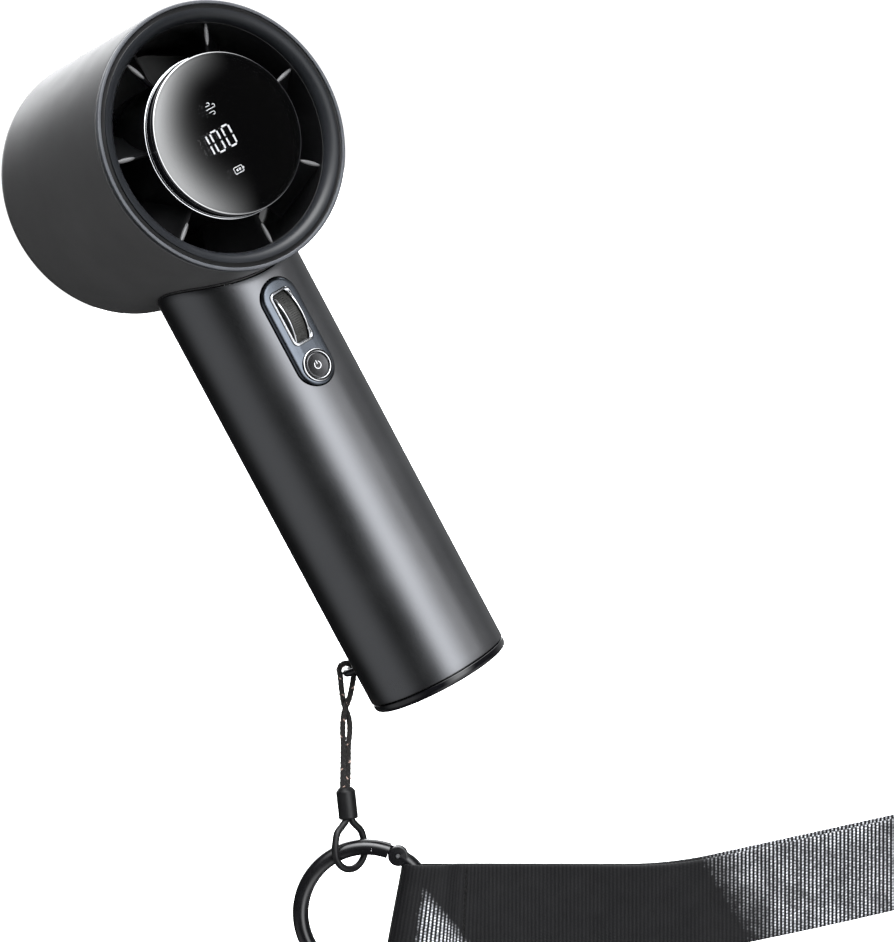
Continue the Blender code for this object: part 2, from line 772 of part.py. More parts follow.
def control_panel(face, wheel):
    outline = stadium(PANEL_WIDTH, PANEL_LENGTH)
    middle = PANEL_FACE - PANEL_DEPTH / 2
    panel = part(slab("control_panel", [outline], PANEL_DEPTH), "panel", face, (0, PANEL_Z, middle))
    bevel(panel, 0.5, 1, 60)
    window = rounded_rectangle(WINDOW_WIDTH + GAP, WINDOW_LENGTH + GAP, 1.6)
    cut(panel, cutter(slab("window_opening", [window], 12), face, (0, WHEEL_Z, middle)))
    hole = cylinder("button_opening", BUTTON_RING_R + GAP / 2, 12, 24)
    cut(panel, cutter(hole, face, (0, BUTTON_Z, middle)))

    outer = rounded_rectangle(WINDOW_WIDTH, WINDOW_LENGTH, 1.5)
    inner = rounded_rectangle(WINDOW_WIDTH - 1.0, WINDOW_LENGTH - 1.0, 1.0)
    trim_middle = PANEL_FACE - 0.9
    trim = part(slab("window_trim", [outer, inner], 2.2), "chrome", face, (0, WHEEL_Z, trim_middle))
    well_r = WHEEL_R + 0.35
    cut(panel, cutter(cylinder("panel_wheel_well", well_r, WINDOW_WIDTH + GAP, 48), wheel))
    cut(trim, cutter(cylinder("trim_wheel_well", well_r, WINDOW_WIDTH - 1.05, 48), wheel))


def power_button(face, button):
    ring = tube_section(BUTTON_R + GAP / 2, BUTTON_RING_R, PANEL_FACE - 2, PANEL_FACE + 0.25)
    part(turned("button_ring", ring, steps=24), "chrome", face, (0, BUTTON_Z, 0))
    cap = part(cylinder("power_button", BUTTON_R, 3.0, 24), "panel", button, (0, 0, -1.4))
    bevel(cap, 0.3, 1)
    part(cylinder("switch_plunger", 0.8, 1.7, 16), "duct", button, (0, 0, -4.05))

    switch = part(box("tact_switch", 4.5, 4.5, 1.6), "steel", face, (0, BUTTON_Z, 14.9))
    cut(switch, cutter(cylinder("switch_well", 1.1, 2.2, 16), face, (0, BUTTON_Z, 15.7)))
    board = part(box("control_board", 17, 31, 1.0), "board", face, (0, 100, 13.3))
    cut(board, cutter(box("board_slot", 6.8, 40, 6), face, (0, 113.3, 13.3)))


def speed_wheel(face, wheel):
    """The wheel's axis is local Z. The encoder holds one end of its axle and a bracket the other."""
    bore = 0.8 + GAP / 2
    band = tube_section(bore, WHEEL_R - 0.25, -1.75, 1.75)
    part(turned("speed_wheel", band, steps=MOTOR_STEPS), "rubber", wheel)
    for name, middle in (("wheel_rim_left", -2.3), ("wheel_rim_right", 2.3)):
        rim = tube_section(WHEEL_R - 2.0, WHEEL_R, middle - 0.3, middle + 0.3)
        part(turned(name, rim, steps=MOTOR_STEPS), "chrome", wheel)
    part(cylinder("wheel_axle", 0.8, 14, 16), "steel", wheel)
    for name, side in (("speed_encoder", 1), ("wheel_support", -1)):
        body = part(box(name, 4.8, 8, 5.4), "duct", face, (side * 5.7, WHEEL_Z, 9.9))
        hole = cutter(cylinder(f"{name}_bore", 0.95, 9.6, 16), wheel, (0, 0, side * 7))
        cut(body, hole)


def base():
    rim_r = CHASSIS_R
    plug_r = rim_r - 1.2
    floor = PAD_HEIGHT + GAP
    pad_recess = PAD_R + GAP
    profile = [
        (0, CAP_TOP + 0.4),
        (plug_r, CAP_TOP + 0.4),
        (plug_r, CHASSIS_BOTTOM - 0.4),
        (rim_r, CHASSIS_BOTTOM - 0.4),
        (rim_r, CAP_TOP),
        (CAP_R, CAP_TOP),
        *arc((CAP_R - 1.3, 1.6), 1.3, 0, -90, 3),
        (pad_recess, 0.3),
        (pad_recess, floor),
        (0, floor),
    ]
    cap = part(turned("base_cap", profile, closed=False), "gloss")
    pad = part(cylinder("base_pad", PAD_R, PAD_HEIGHT, HEAD_STEPS), "rubber", at=(0, 0, PAD_HEIGHT / 2))
    bevel(pad, 0.2, 1)
    rear = bpy.data.objects["chassis_rear"]
    for side, name in ((-1, "base_screw_left"), (1, "base_screw_right")):
        x = side * BASE_SCREW_R * math.cos(BASE_SCREW_ANGLE)
        y = BASE_SCREW_R * math.sin(BASE_SCREW_ANGLE)
        boss_y = y + 0.3
        boss = cutter(cylinder(f"{name}_boss", 2.2, 7, 16), at=(x, boss_y, CHASSIS_BOTTOM + 3.5))
        join(rear, boss)
        thread = cutter(cylinder(f"{name}_thread", 1.2, 7, 16), at=(x, y, CHASSIS_BOTTOM + 1.5))
        cut(rear, thread)
        cut(cap, cutter(cylinder(f"{name}_hole", 1.2, 12, 16), at=(x, y, 3)))
        cut(cap, cutter(cylinder(f"{name}_sink", 2.1, 1.2, 16), at=(x, y, 1.8)))
        screw = part(cylinder(name, 0.9, 7.4, 16), "steel", at=(x, y, 5.2))
        join(screw, cutter(cylinder(f"{name}_head", 1.7, 0.8, 16), at=(x, y, 1.8)))


def cables():
    start = 111.5
    x = CABLE_X
    y = CABLE_Y
    web_z = HEAD_Z + WEB_HOLE_Z
    to_motor = [(x, y, start), (x, y, 142.5), (x - 0.6, y, 144.8)]
    part(wire("motor_cable", to_motor, CABLE_R), "rubber")
    to_display = [(-x, y, start), (-x, y, web_z - 4.5), (-x, y - 1.2, web_z - 1.4), (-x, y - 4, web_z)]
    to_display.append((-x, -PUCK_BACK - 0.3, web_z))
    part(wire("display_cable", to_display, CABLE_R), "rubber")


# ---------------------------------------------------------------- lanyard


def lanyard_anchor(anchor):
    """A wire staple: two legs through the handle's wall and a round bow outside it."""
    w = ANCHOR_HALF_WIDTH
    bow = arc((0, ANCHOR_REACH - w), w, 0, 180, 9)
    points = [(w, 16.2, 0)] + [(x, y, 0) for x, y in bow] + [(-w, 16.2, 0)]
    part(wire("lanyard_anchor", points, ANCHOR_WIRE_R, resolution=1), "black_metal", anchor)


def lanyard_cord(anchor, hang):
    """A doubled cord: it turns over the anchor's wire, and both strands run down into the crimp."""
    over = ANCHOR_WIRE_R + CORD_R + GAP
    to_hang = hang_matrix().inverted()
    outward = to_hang @ anchor_matrix()
    first = (outward.to_3x3() @ Vector((0, 1, 0))).normalized()
    upward = (to_hang.to_3x3() @ Vector((0, 0, 1))).normalized()
    turn = []
    for x, y in arc((0, 0), over, 0, 180, 7):
        turn.append(first * x + upward * y)
    mouth = Vector((*CRIMP_TOP, 0))
    depth = 2.5
    inside = mouth + Vector((math.sin(CRIMP_TILT), -math.cos(CRIMP_TILT), 0)) * depth
    together = CORD_R + 0.05
    strand = []
    count = 7
    for index in range(1, count + 1):
        t = index / count
        spread = over + (together - over) * min(1.0, 1.6 * t)
        side = first.lerp(Vector((1, 0, 0)), min(1.0, 1.4 * t)).normalized()
        strand.append((mouth * t, side * spread))
    strand.append((inside, Vector((together, 0, 0))))
    outer = [middle + offset for middle, offset in reversed(strand)]
    inner = [middle - offset for middle, offset in strand]
    path = outer + turn + inner
    part(wire("lanyard_cord", path, CORD_R, resolution=0), "webbing", hang)


def cord_crimp(hang):
    middle = CRIMP_LENGTH / 2
    profile = [
        (CRIMP_R - 0.8, middle),
        (CRIMP_R, middle - 0.8),
        (CRIMP_R, -middle + 0.3),
        (CRIMP_R - 0.25, -middle),
        (CRIMP_R - 0.3, -middle),
        (CRIMP_R - 0.3, 0.3),
        (1.75, 0.6),
        (1.75, middle),
    ]
    crimp = part(turned("cord_crimp", profile, steps=PIN_STEPS), "rubber", hang)
    x = CRIMP_TOP[0] + middle * math.sin(CRIMP_TILT)
    y = CRIMP_TOP[1] - middle * math.cos(CRIMP_TILT)
    crimp.matrix_local = (
        Matrix.Translation(Vector((x, y, 0)) * MM)
        @ Matrix.Rotation(CRIMP_TILT, 4, "Z")
        @ Matrix.Rotation(-math.pi / 2, 4, "X")
    )


def ring_loop(hang):
    """The rubber loop: both ends sit in the crimp, and its bend carries the ring."""
    on_ring = ring_point(LOOP_ON_RING)
    mouth_x = CRIMP_TOP[0] + CRIMP_LENGTH * math.sin(CRIMP_TILT)
    mouth_y = CRIMP_TOP[1] - CRIMP_LENGTH * math.cos(CRIMP_TILT)
    inside = 3.2
    near = LOOP_R + 0.1
    half = [(near, inside), (near, -0.2), (near + 1.1, -1.6), (LOOP_BEND_R - 1.0, -3.6)]
    bend_y = on_ring[1] - mouth_y - 0.15
    half_path = half + [(LOOP_BEND_R - 0.1, bend_y + 1.6)]
    bend = arc((0, bend_y), LOOP_BEND_R, 0, -180, 9)
    path = half_path + bend + [(-x, y) for x, y in reversed(half_path)]
    points = []
    for x, y in path:
        if y < 0:
            drift = (on_ring[0] - mouth_x) * min(1.0, y / bend_y)
        else:
            drift = -y * math.tan(CRIMP_TILT)
        across = x * math.cos(LOOP_TURN)
        points.append((mouth_x + drift + across, mouth_y + y, -x * math.sin(LOOP_TURN)))
    part(wire("ring_loop", points, LOOP_R, resolution=1), "rubber", hang)


def ring_point(angle, radius=RING_R):
    """A point of the ring in the hanging frame. The angle runs clockwise from the top."""
    return (RING_CENTRE[0] + radius * math.sin(angle), RING_CENTRE[1] + radius * math.cos(angle))


def ring_arc(name, start, end, count):
    points = []
    for index in range(count):
        angle = start + (end - start) * index / (count - 1)
        points.append((RING_R * math.sin(angle), RING_R * math.cos(angle), 0))
    return wire(name, points, RING_WIRE_R, resolution=1)


def seam_slice(name, radius):
    """A slice round the gate's pivot. The seam is an arc about it, so the opening gate clears the ring."""
    middle = 180 - math.degrees(GATE_PIVOT)
    outline = [(0, 0)] + arc((0, 0), radius, middle - 75, middle + 75, 31)
    return slab(name, [outline], 3 * RING_WIRE_R)


def lanyard_ring(ring, pivot):
    """The ring's body ends in a fork that holds the gate's pin."""
    seam_end = GATE_SEAM + math.radians(4) + FULL_TURN
    body = part(ring_arc("lanyard_ring", GATE_PIVOT, seam_end, 41), "black_metal", ring)
    cut(body, cutter(seam_slice("ring_seam", SEAM_R + GAP), ring, pivot))
    ear = cylinder("ring_ear", EAR_R, 2 * RING_WIRE_R - 0.2, 20)
    join(body, cutter(ear, ring, pivot))
    slot = cutter(box("ring_slot", 6.4, 6.8, TONGUE + 2 * GAP), ring, pivot)
    slot.rotation_euler = (0, 0, -GATE_PIVOT)
    cut(body, slot)
    cut(body, cutter(cylinder("ring_pin_hole", 0.7, 8, 12), ring, pivot))
    part(cylinder("gate_pin", 0.5, 3.8, 12), "steel", ring, pivot)


def ring_gate(gate, pivot):
    """The gate: a piece of the ring with a tongue, which turns in the fork. Its frame is at the pivot."""
    tube_end = GATE_PIVOT - math.radians(10.2)
    leaf = ring_arc("ring_gate", GATE_SEAM - math.radians(4), tube_end, 6)
    leaf = part(leaf, "black_metal", gate, [-value for value in pivot])
    boolean(leaf, "INTERSECT", cutter(seam_slice("gate_seam", SEAM_R), gate))
    tongue = cutter(box("gate_tongue", 5.4, 2.6, TONGUE), gate)
    tongue.rotation_euler = (0, 0, -GATE_PIVOT)
    tongue.location = Matrix.Rotation(-GATE_PIVOT, 3, "Z") @ Vector((-2.4, 0.35, 0)) * MM
    join(leaf, tongue)
    join(leaf, cutter(cylinder("gate_eye", 1.9, TONGUE, 16), gate))
    cut(leaf, cutter(cylinder("gate_pin_hole", 0.7, 8, 12), gate))


def strap_rise(x):
    """How far the strap climbs at this distance from the ring: level first, then a steady slope."""
    start, slope, bend = 70.0, 0.22, 0.0048
    run = max(0.0, x - start)
    turn = slope / (2 * bend)
    if run < turn:
        return bend * run * run
    return bend * turn * turn + slope * (run - turn)


def strap_leg(offset):
    """One side of the wrist loop, as seen along the strap's width, from the stitches to the far end."""
    start, widest = 31.0, 122.0
    points = []
    last = 9
    for index in range(last + 1):
        t = index / last
        swell = STRAP_LOOP_HALF * (1 - math.cos(math.pi * t)) / 2
        points.append((start + (widest - start) * t, STRAP_THICKNESS / 2 + swell + offset))
    end_r = STRAP_LOOP_HALF + STRAP_THICKNESS / 2 + offset
    reach = STRAP_END_X - widest + offset
    return points + arc((widest, 0), reach, 78, 0, 7, radius_y=end_r)


def wrist_strap(strap):
    """One webbing: it folds round the ring, is sewn to itself, and goes on as the wrist loop."""
    half = STRAP_THICKNESS / 2
    pocket = POCKET_HALF
    outer_pocket = pocket + STRAP_THICKNESS
    top = [(x, y) for x, y in arc((POCKET_FOLD_X, 0), outer_pocket, 180, 90, 5)]
    top += [(20.6, outer_pocket), (STITCH_X, STRAP_THICKNESS)]
    top += strap_leg(half)
    hole = arc((POCKET_FOLD_X, 0), pocket, 180, 90, 5) + [(20.2, pocket), (STITCH_X - 1.2, 0)]
    loop = [(32.6, 0)] + strap_leg(-half)[1:]
    outlines = [mirrored(top), mirrored(hole), mirrored(loop)]
    webbing = slab("wrist_strap", outlines, STRAP_WIDTH)
    bm = bmesh.new()
    bm.from_mesh(webbing.data)
    lean = 0.11
    for vert in bm.verts:
        vert.co.z += strap_rise(vert.co.x / MM) * MM + lean * min(0.0, vert.co.y)
    bm.to_mesh(webbing.data)
    bm.free()
    part(webbing, "webbing", strap)


def mirrored(half_outline):
    """A closed outline from its upper half, which starts and ends on the X axis."""
    below = [(x, -y) for x, y in reversed(half_outline) if abs(y) > 1e-9]
    return [(x, y) for x, y in half_outline] + below


def anchor_matrix():
    place = Vector((-math.sin(ANCHOR_ANGLE), math.cos(ANCHOR_ANGLE), 0)) * ANCHOR_REACH
    place.z = ANCHOR_Z
    return Matrix.Translation(place * MM) @ Matrix.Rotation(ANCHOR_ANGLE, 4, "Z")


def hang_matrix():
    """Local X runs sideways, local Y up against gravity, and local Z away from the strap's face."""
    turn = Matrix.Rotation(-HANG_AZIMUTH, 4, "Z") @ Matrix.Rotation(HANG_PITCH, 4, "X")
    turn = turn @ Matrix.Rotation(HANG_ROLL, 4, "Y") @ Matrix.Rotation(math.pi / 2, 4, "X")
    place = anchor_matrix().to_translation()
    return Matrix.Translation(place) @ turn


def lanyard():
    anchor = empty("anchor_frame", (0, 0, ANCHOR_Z), (0, 0, ANCHOR_ANGLE))
    hang = empty("hang_frame", (0, 0, 0))
    hang.matrix_local = hang_matrix()
    lanyard_anchor(anchor)
    lanyard_cord(anchor, hang)
    cord_crimp(hang)
    ring_loop(hang)
    ring = empty("ring_frame", (*RING_CENTRE, 0), parent=hang)
    pivot = (RING_R * math.sin(GATE_PIVOT), RING_R * math.cos(GATE_PIVOT), 0)
    gate = empty("gate_frame", pivot, parent=ring)
    lanyard_ring(ring, pivot)
    ring_gate(gate, pivot)
    strap = empty("strap_frame", (0, 0, 0), (-math.pi / 2, 0, 0), parent=ring)
    wrist_strap(strap)
    return anchor


# ---------------------------------------------------------------- the fan


def build():
    head = empty("head_axis", (0, 0, HEAD_Z), (math.pi / 2, 0, 0))
    impeller = empty("impeller_axis", (0, 0, 0), parent=head)
    face = empty("front_face", (0, 0, 0), (math.pi / 2, 0, 0))
    wheel = empty("wheel_axis", (0, -WHEEL_AXIS, WHEEL_Z), (0, math.pi / 2, 0))
    button = empty("button_axis", (0, -PANEL_FACE, BUTTON_Z), (math.pi / 2, 0, 0))
    head_barrel(head)
    front_bezel(head)
    guide_vane_frame(head)
    rear_grille(head)
    display(head)
    motor_stator(head)
    motor_rotor(impeller)
    impeller_wheel(impeller)
    neck_screws()
    neck_seal(head)
    neck_bracket(head)
    anchor = lanyard()
    handle_tube(head, face, anchor)
    chassis()
    battery()
    main_board()
    usb_c_port(face)
    control_panel(face, wheel)
    power_button(face, button)
    speed_wheel(face, wheel)
    base()
    cables()


clear_scene()
PARTS = new_collection("handheld_fan")
CUTTERS = new_collection("cutters", hidden=True)
build()
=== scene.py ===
"""Looks of the handheld fan: fine shapes, materials, studio and camera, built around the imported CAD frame.

Shapes are written in millimetres in the row's frame: +Z up the handle, -Y the way the air leaves.
Head shapes use the head frame, whose Z runs forwards out of the duct. Lanyard shapes use the hanging
frame, whose X runs sideways, Y up against gravity and Z away from the strap's face.
"""

import json
import math

import bmesh
import bpy
from mathutils import Matrix, Vector


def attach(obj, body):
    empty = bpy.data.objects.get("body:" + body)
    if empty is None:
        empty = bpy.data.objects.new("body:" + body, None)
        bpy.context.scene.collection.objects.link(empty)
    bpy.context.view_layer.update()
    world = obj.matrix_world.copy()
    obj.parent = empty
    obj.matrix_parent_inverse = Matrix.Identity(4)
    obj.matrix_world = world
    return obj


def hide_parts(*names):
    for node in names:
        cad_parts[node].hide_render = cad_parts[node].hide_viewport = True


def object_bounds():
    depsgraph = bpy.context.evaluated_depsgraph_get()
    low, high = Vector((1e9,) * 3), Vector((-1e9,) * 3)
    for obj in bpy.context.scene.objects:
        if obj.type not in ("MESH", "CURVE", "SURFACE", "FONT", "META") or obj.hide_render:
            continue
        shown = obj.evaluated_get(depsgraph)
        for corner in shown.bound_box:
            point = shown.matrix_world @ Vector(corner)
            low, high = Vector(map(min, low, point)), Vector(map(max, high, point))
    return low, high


MM = 0.001
FULL_TURN = 2 * math.pi
SHARP = math.radians(32)

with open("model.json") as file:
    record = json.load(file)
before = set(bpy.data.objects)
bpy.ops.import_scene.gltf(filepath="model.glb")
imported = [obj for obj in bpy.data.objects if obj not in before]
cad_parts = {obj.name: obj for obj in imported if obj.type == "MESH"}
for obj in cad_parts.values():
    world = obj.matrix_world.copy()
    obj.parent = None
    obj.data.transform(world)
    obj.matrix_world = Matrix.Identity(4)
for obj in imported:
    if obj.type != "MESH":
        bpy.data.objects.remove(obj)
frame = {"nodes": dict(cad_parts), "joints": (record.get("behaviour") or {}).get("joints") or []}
cad_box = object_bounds()


# ---------------------------------------------------------------- places read from the frame


def span(node, axis):
    """How far a CAD node reaches along a direction: its lowest and highest value, in mm."""
    direction = Vector(axis)
    values = [vertex.co.dot(direction) for vertex in frame["nodes"][node].data.vertices]
    return min(values) / MM, max(values) / MM


def middle(node, axis):
    return sum(span(node, axis)) / 2


def half(node, axis):
    low, high = span(node, axis)
    return (high - low) / 2


def joint(name):
    return next(entry for entry in frame["joints"] if entry["name"] == name)


X, Y, Z = (1, 0, 0), (0, 1, 0), (0, 0, 1)
FORWARD = (0, -1, 0)

HEAD_Z = middle("head_barrel", Z)
HEAD_R = half("head_barrel", Z)
BARREL_REAR, BARREL_FRONT = span("head_barrel", FORWARD)
BEZEL_REAR, FACE = span("front_bezel", FORWARD)
DUCT_OUTER = half("guide_vane_frame", X)
DUCT_REAR, DUCT_FRONT = span("guide_vane_frame", FORWARD)
PUCK_R = half("display_housing", X)
PUCK_BACK, PUCK_RIM = span("display_housing", FORWARD)
LENS_BACK, LENS_CREST = span("display_lens", FORWARD)
BOARD_FRONT = span("display_board", FORWARD)[1]
BASE_RING_R = half("display_base_ring", X)
GRILLE_REAR, GRILLE_FRONT = span("rear_grille", FORWARD)
GRILLE_FLANGE_R = half("rear_grille", X)
IMPELLER_NOSE, IMPELLER_FRONT = span("impeller", FORWARD)
IMPELLER_R = half("impeller", X)

HANDLE_R = half("handle_tube", X)
HANDLE_BOTTOM = span("handle_tube", Z)[0]
PANEL_Z = middle("control_panel", Z)
PANEL_HALF_WIDTH = half("control_panel", X)
PANEL_HALF_LENGTH = half("control_panel", Z)
PANEL_BACK, PANEL_FACE = span("control_panel", FORWARD)
WINDOW_Z = middle("window_trim", Z)
WINDOW_HALF = (half("window_trim", X), half("window_trim", Z))
TRIM_BACK, TRIM_FRONT = span("window_trim", FORWARD)
WHEEL_Z = middle("speed_wheel", Z)
WHEEL_AXIS = middle("speed_wheel", FORWARD)
WHEEL_R = half("speed_wheel", Z)
WHEEL_HALF = half("speed_wheel", X)
RIM_R = half("wheel_rim_left", Z)
BUTTON_Z = middle("power_button", Z)
BUTTON_R = half("power_button", X)
BUTTON_BACK, BUTTON_FRONT = span("power_button", FORWARD)
BUTTON_RING_R = half("button_ring", X)
CAP_R = half("base_cap", X)
PAD_R = half("base_pad", X)
PAD_TOP = span("base_pad", Z)[1]

HANG_ORIGIN = Vector(joint("cord_swing")["pos_m"])
HANG_UP = Vector(joint("strap_swing")["axis"]).normalized()
HANG_FRONT = Vector(joint("gate_open")["axis"]).normalized()
HANG_SIDE = HANG_UP.cross(HANG_FRONT)
TO_HANG = Matrix((HANG_SIDE, HANG_UP, HANG_FRONT))
ANCHOR_OUT = Vector((HANG_ORIGIN.x, HANG_ORIGIN.y, 0))


def hang_middle(node):
    """The middle of a flat node, in the hanging frame."""
    x, y = (middle(node, axis) - HANG_ORIGIN.dot(axis) / MM for axis in (HANG_SIDE, HANG_UP))
    return Vector((x, y, 0))


RING_WIRE_R = half("lanyard_ring", HANG_FRONT)
RING_R = half("lanyard_ring", HANG_UP) - RING_WIRE_R
RING_CENTRE = hang_middle("lanyard_ring")
CRIMP_CENTRE = hang_middle("cord_crimp")
GATE_PIVOT = TO_HANG @ (Vector(joint("gate_open")["pos_m"]) - HANG_ORIGIN) / MM - RING_CENTRE

FRONT = Matrix.Rotation(math.pi / 2, 4, "X")
HEAD = Matrix.Translation((0, 0, HEAD_Z)) @ FRONT
UPRIGHT = Matrix.Identity(4)
HANG = Matrix.Translation(HANG_ORIGIN / MM) @ TO_HANG.transposed().to_4x4()
RING = HANG @ Matrix.Translation(RING_CENTRE)

# Sizes the frame doesn't give on its own, in mm.
GAP = 0.3
BARREL_WALL = 1.6
BARREL_ROUND = 8.0
DUCT_R = DUCT_OUTER - 1.4
LIP_ROUND = 2.9
GROOVE_R = (32.8, 34.1)
GROOVE_DEPTH = 0.7
HUB_R = 19.3
VANES = 7
VANE_FRONT, VANE_REAR = 29.0, 14.0
BLADES = 9
GRILLE_BARS = 12
SADDLE_R = HEAD_R + 0.8
HANDLE_WALL = 1.3
PANEL_BOW_R = 20.3
ANCHOR_WIRE_R = 1.0
ANCHOR_HALF_WIDTH = 3.2
CORD_R = 0.75
CRIMP_TILT = math.radians(6.4)
CRIMP_LENGTH = 8.4
CRIMP_R = 2.6
LOOP_R = 0.95
LOOP_BEND_R = 5.2
LOOP_TURN = math.radians(42)
LOOP_ON_RING = math.radians(-14.3)
GATE_SEAM = math.radians(5)
EAR_R = 2.7
TONGUE = 1.2
STRAP_WIDTH = 24.5
STRAP_THICKNESS = 1.2
RIB_PITCH = 1.04
WARP_PITCH = 0.8
# Where the painted highlight on the strap begins, along the strap from the fold, in mm.
PAINTED_SHEEN_START = 92
POCKET_R = 4.6
POCKET_FOLD_X = 12.4
STITCH_X = 25.6
WRIST_LOOP_HALF = 9.0
WRIST_LOOP_END = 160.0
CUT, JOIN, COMMON = "DIFFERENCE", "UNION", "INTERSECT"


# ---------------------------------------------------------------- mesh tools


def arc(centre, radius, start, end, count, radius_y=None):
    """Points on an arc or an elliptical arc, with angles in degrees from the first axis."""
    x, y = centre
    tall = radius_y or radius
    angles = [math.radians(start + (end - start) * index / (count - 1)) for index in range(count)]
    return [(x + radius * math.cos(a), y + tall * math.sin(a)) for a in angles]


def circle(radius, count, radius_y=None):
    return arc((0, 0), radius, 0, 360, count + 1, radius_y)[:-1]


def shifted(points, x, y):
    return [(px + x, py + y) for px, py in points]


def rounded(points, radius, steps=4):
    """A closed outline with its corners rounded, by one radius or by one for each corner."""
    outline = []
    count = len(points)
    radii = radius if isinstance(radius, list) else [radius] * count
    for index, corner in enumerate(points):
        here = Vector(corner)
        before = Vector(points[index - 1]) - here
        after = Vector(points[(index + 1) % count]) - here
        opening = before.angle(after)
        if radii[index] == 0 or opening > math.radians(175):
            outline.append(tuple(here))
            continue
        reach = min(radii[index] / math.tan(opening / 2), 0.48 * before.length, 0.48 * after.length)
        start = here + before.normalized() * reach
        end = here + after.normalized() * reach
        for t in (step / steps for step in range(steps + 1)):
            outline.append(tuple(start * (1 - t) ** 2 + here * 2 * t * (1 - t) + end * t**2))
    return outline


def stadium(half_width, half_length, count=24):
    straight = half_length - half_width
    return arc((0, straight), half_width, 0, 180, count) + arc((0, -straight), half_width, 180, 360, count)


def rounded_box(half_width, half_height, radius, count=8):
    points = []
    for index, (sx, sy) in enumerate(((1, 1), (-1, 1), (-1, -1), (1, -1))):
        centre = (sx * (half_width - radius), sy * (half_height - radius))
        points += arc(centre, radius, index * 90, index * 90 + 90, count)
    return points


def to_mesh(bm):
    data = bpy.data.meshes.new("mesh")
    bm.to_mesh(data)
    bm.free()
    return data


def skin(rings, wrap=False):
    """A closed skin over rings of points. It joins the last ring to the first, or caps both ends."""
    bm = bmesh.new()
    rows = [[bm.verts.new(point) for point in ring] for ring in rings]
    for here, there in zip(rows, rows[1:] + rows[: int(wrap)]):
        for side in range(len(here)):
            after = (side + 1) % len(here)
            bm.faces.new((here[side], here[after], there[after], there[side]))
    if not wrap:
        bm.faces.new(reversed(rows[0]))
        bm.faces.new(rows[-1])
    bmesh.ops.remove_doubles(bm, verts=bm.verts, dist=0.0002)
    bmesh.ops.recalc_face_normals(bm, faces=bm.faces)
    return to_mesh(bm)


def revolve(profile, steps=160):
    """A closed (radius, height) outline turned about local Z."""
    turns = [index * FULL_TURN / steps for index in range(steps)]
    return skin([[(r * math.cos(a), r * math.sin(a), h) for r, h in profile] for a in turns], wrap=True)


def stack(layers):
    """A solid over (outline, height) layers whose outlines all have the same count of points."""
    return skin([[(x, y, height) for x, y in outline] for outline, height in layers])


def prism(outline, back, front):
    return stack([(outline, back), (outline, front)])


def path_frames(path):
    """At each point of a path: the point and two directions across it, carried along without twist."""
    points = [Vector(point) for point in path]
    frames = []
    side = None
    for before, point, after in zip(points[:1] + points, points, points[1:] + points[-1:]):
        along = (after - before).normalized()
        side = along.orthogonal() if side is None else side
        side = (side - along * side.dot(along)).normalized()
        frames.append((point, side, along.cross(side)))
    return frames


def tube(path, radius, steps=16, end_round=0.0):
    """A round wire along a path, with its ends rounded off if end_round is given."""
    frames = path_frames(path)
    lengths = [0.0]
    for before, after in zip(frames, frames[1:]):
        lengths.append(lengths[-1] + (after[0] - before[0]).length)
    rings = []
    for (point, side, up), length in zip(frames, lengths):
        r = radius
        if end_round:
            near = min(length, lengths[-1] - length, end_round)
            r = radius * math.sqrt(max(0.01, 1 - (1 - near / end_round) ** 2))
        rings.append([point + (side * x + up * y) * r for x, y in circle(1, steps)])
    return skin(rings)


def spline(points, spacing, closed=False):
    """A smooth path through the points (Catmull-Rom), resampled at an even spacing."""
    places = [Vector(point) for point in points]
    first, last = places[0] * 2 - places[1], [places[-1] * 2 - places[-2]]
    if closed:
        first, last = places[-1], places[:2]
    row = [first, *places, *last]
    dense = []
    for p0, p1, p2, p3 in zip(row, row[1:], row[2:], row[3:]):
        for t in (step / 16 for step in range(16)):
            low = p1 * 2 + (p2 - p0) * t + (p0 * 2 - p1 * 5 + p2 * 4 - p3) * t**2
            dense.append((low + (p1 * 3 - p0 - p2 * 3 + p3) * t**3) / 2)
    dense.append(row[-2])
    path = [dense[0]]
    left = spacing
    for start, end in zip(dense, dense[1:]):
        reach = (end - start).length
        while left <= reach and reach > 0:
            start = start + (end - start) * (left / reach)
            reach = (end - start).length
            path.append(start)
            left = spacing
        left -= reach
    if not closed and (path[-1] - dense[-1]).length > spacing / 2:
        path.append(dense[-1])
    return path


def merged(meshes):
    """Several meshes as one mesh, without a Boolean."""
    bm = bmesh.new()
    for data in meshes:
        bm.from_mesh(data)
    return to_mesh(bm)


def placed(name, data):
    """A new object in the scene."""
    obj = bpy.data.objects.new(name, data)
    bpy.context.scene.collection.objects.link(obj)
    return obj


def carved(data, *steps):
    """A mesh after Boolean steps, each an (operation, mesh) pair in the same frame."""
    base = placed("base", data)
    helpers = [placed("helper", mesh) for _, mesh in steps]
    for helper, (operation, _) in zip(helpers, steps):
        modifier = base.modifiers.new("step", "BOOLEAN")
        modifier.operation, modifier.object, modifier.solver = operation, helper, "EXACT"
    graph = bpy.context.evaluated_depsgraph_get()
    made = bpy.data.meshes.new_from_object(base.evaluated_get(graph))
    for obj in [base, *helpers]:
        bpy.data.objects.remove(obj)
    return made


def moved(data, matrix):
    data.transform(matrix)
    return data


def repeated(data, count):
    """count copies of a mesh, each turned further about local Z by an equal step."""
    turns = [Matrix.Rotation(index * FULL_TURN / count, 4, "Z") for index in range(count)]
    return merged([moved(data.copy(), turn) for turn in turns])


def piece(name, data, place, materials, replaces=(), body="fan_body", sharp=SHARP):
    """Makes a mesh a piece of the model: in place, smooth, with its materials, riding on its body."""
    data.transform(Matrix.Scale(MM, 4) @ place)
    obj = placed(name, data)
    data.name = name
    data.shade_smooth()
    data.set_sharp_from_angle(angle=sharp)
    data.materials.clear()
    for entry in materials:
        data.materials.append(entry)
    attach(obj, body)
    if replaces:
        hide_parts(replaces)
    return obj


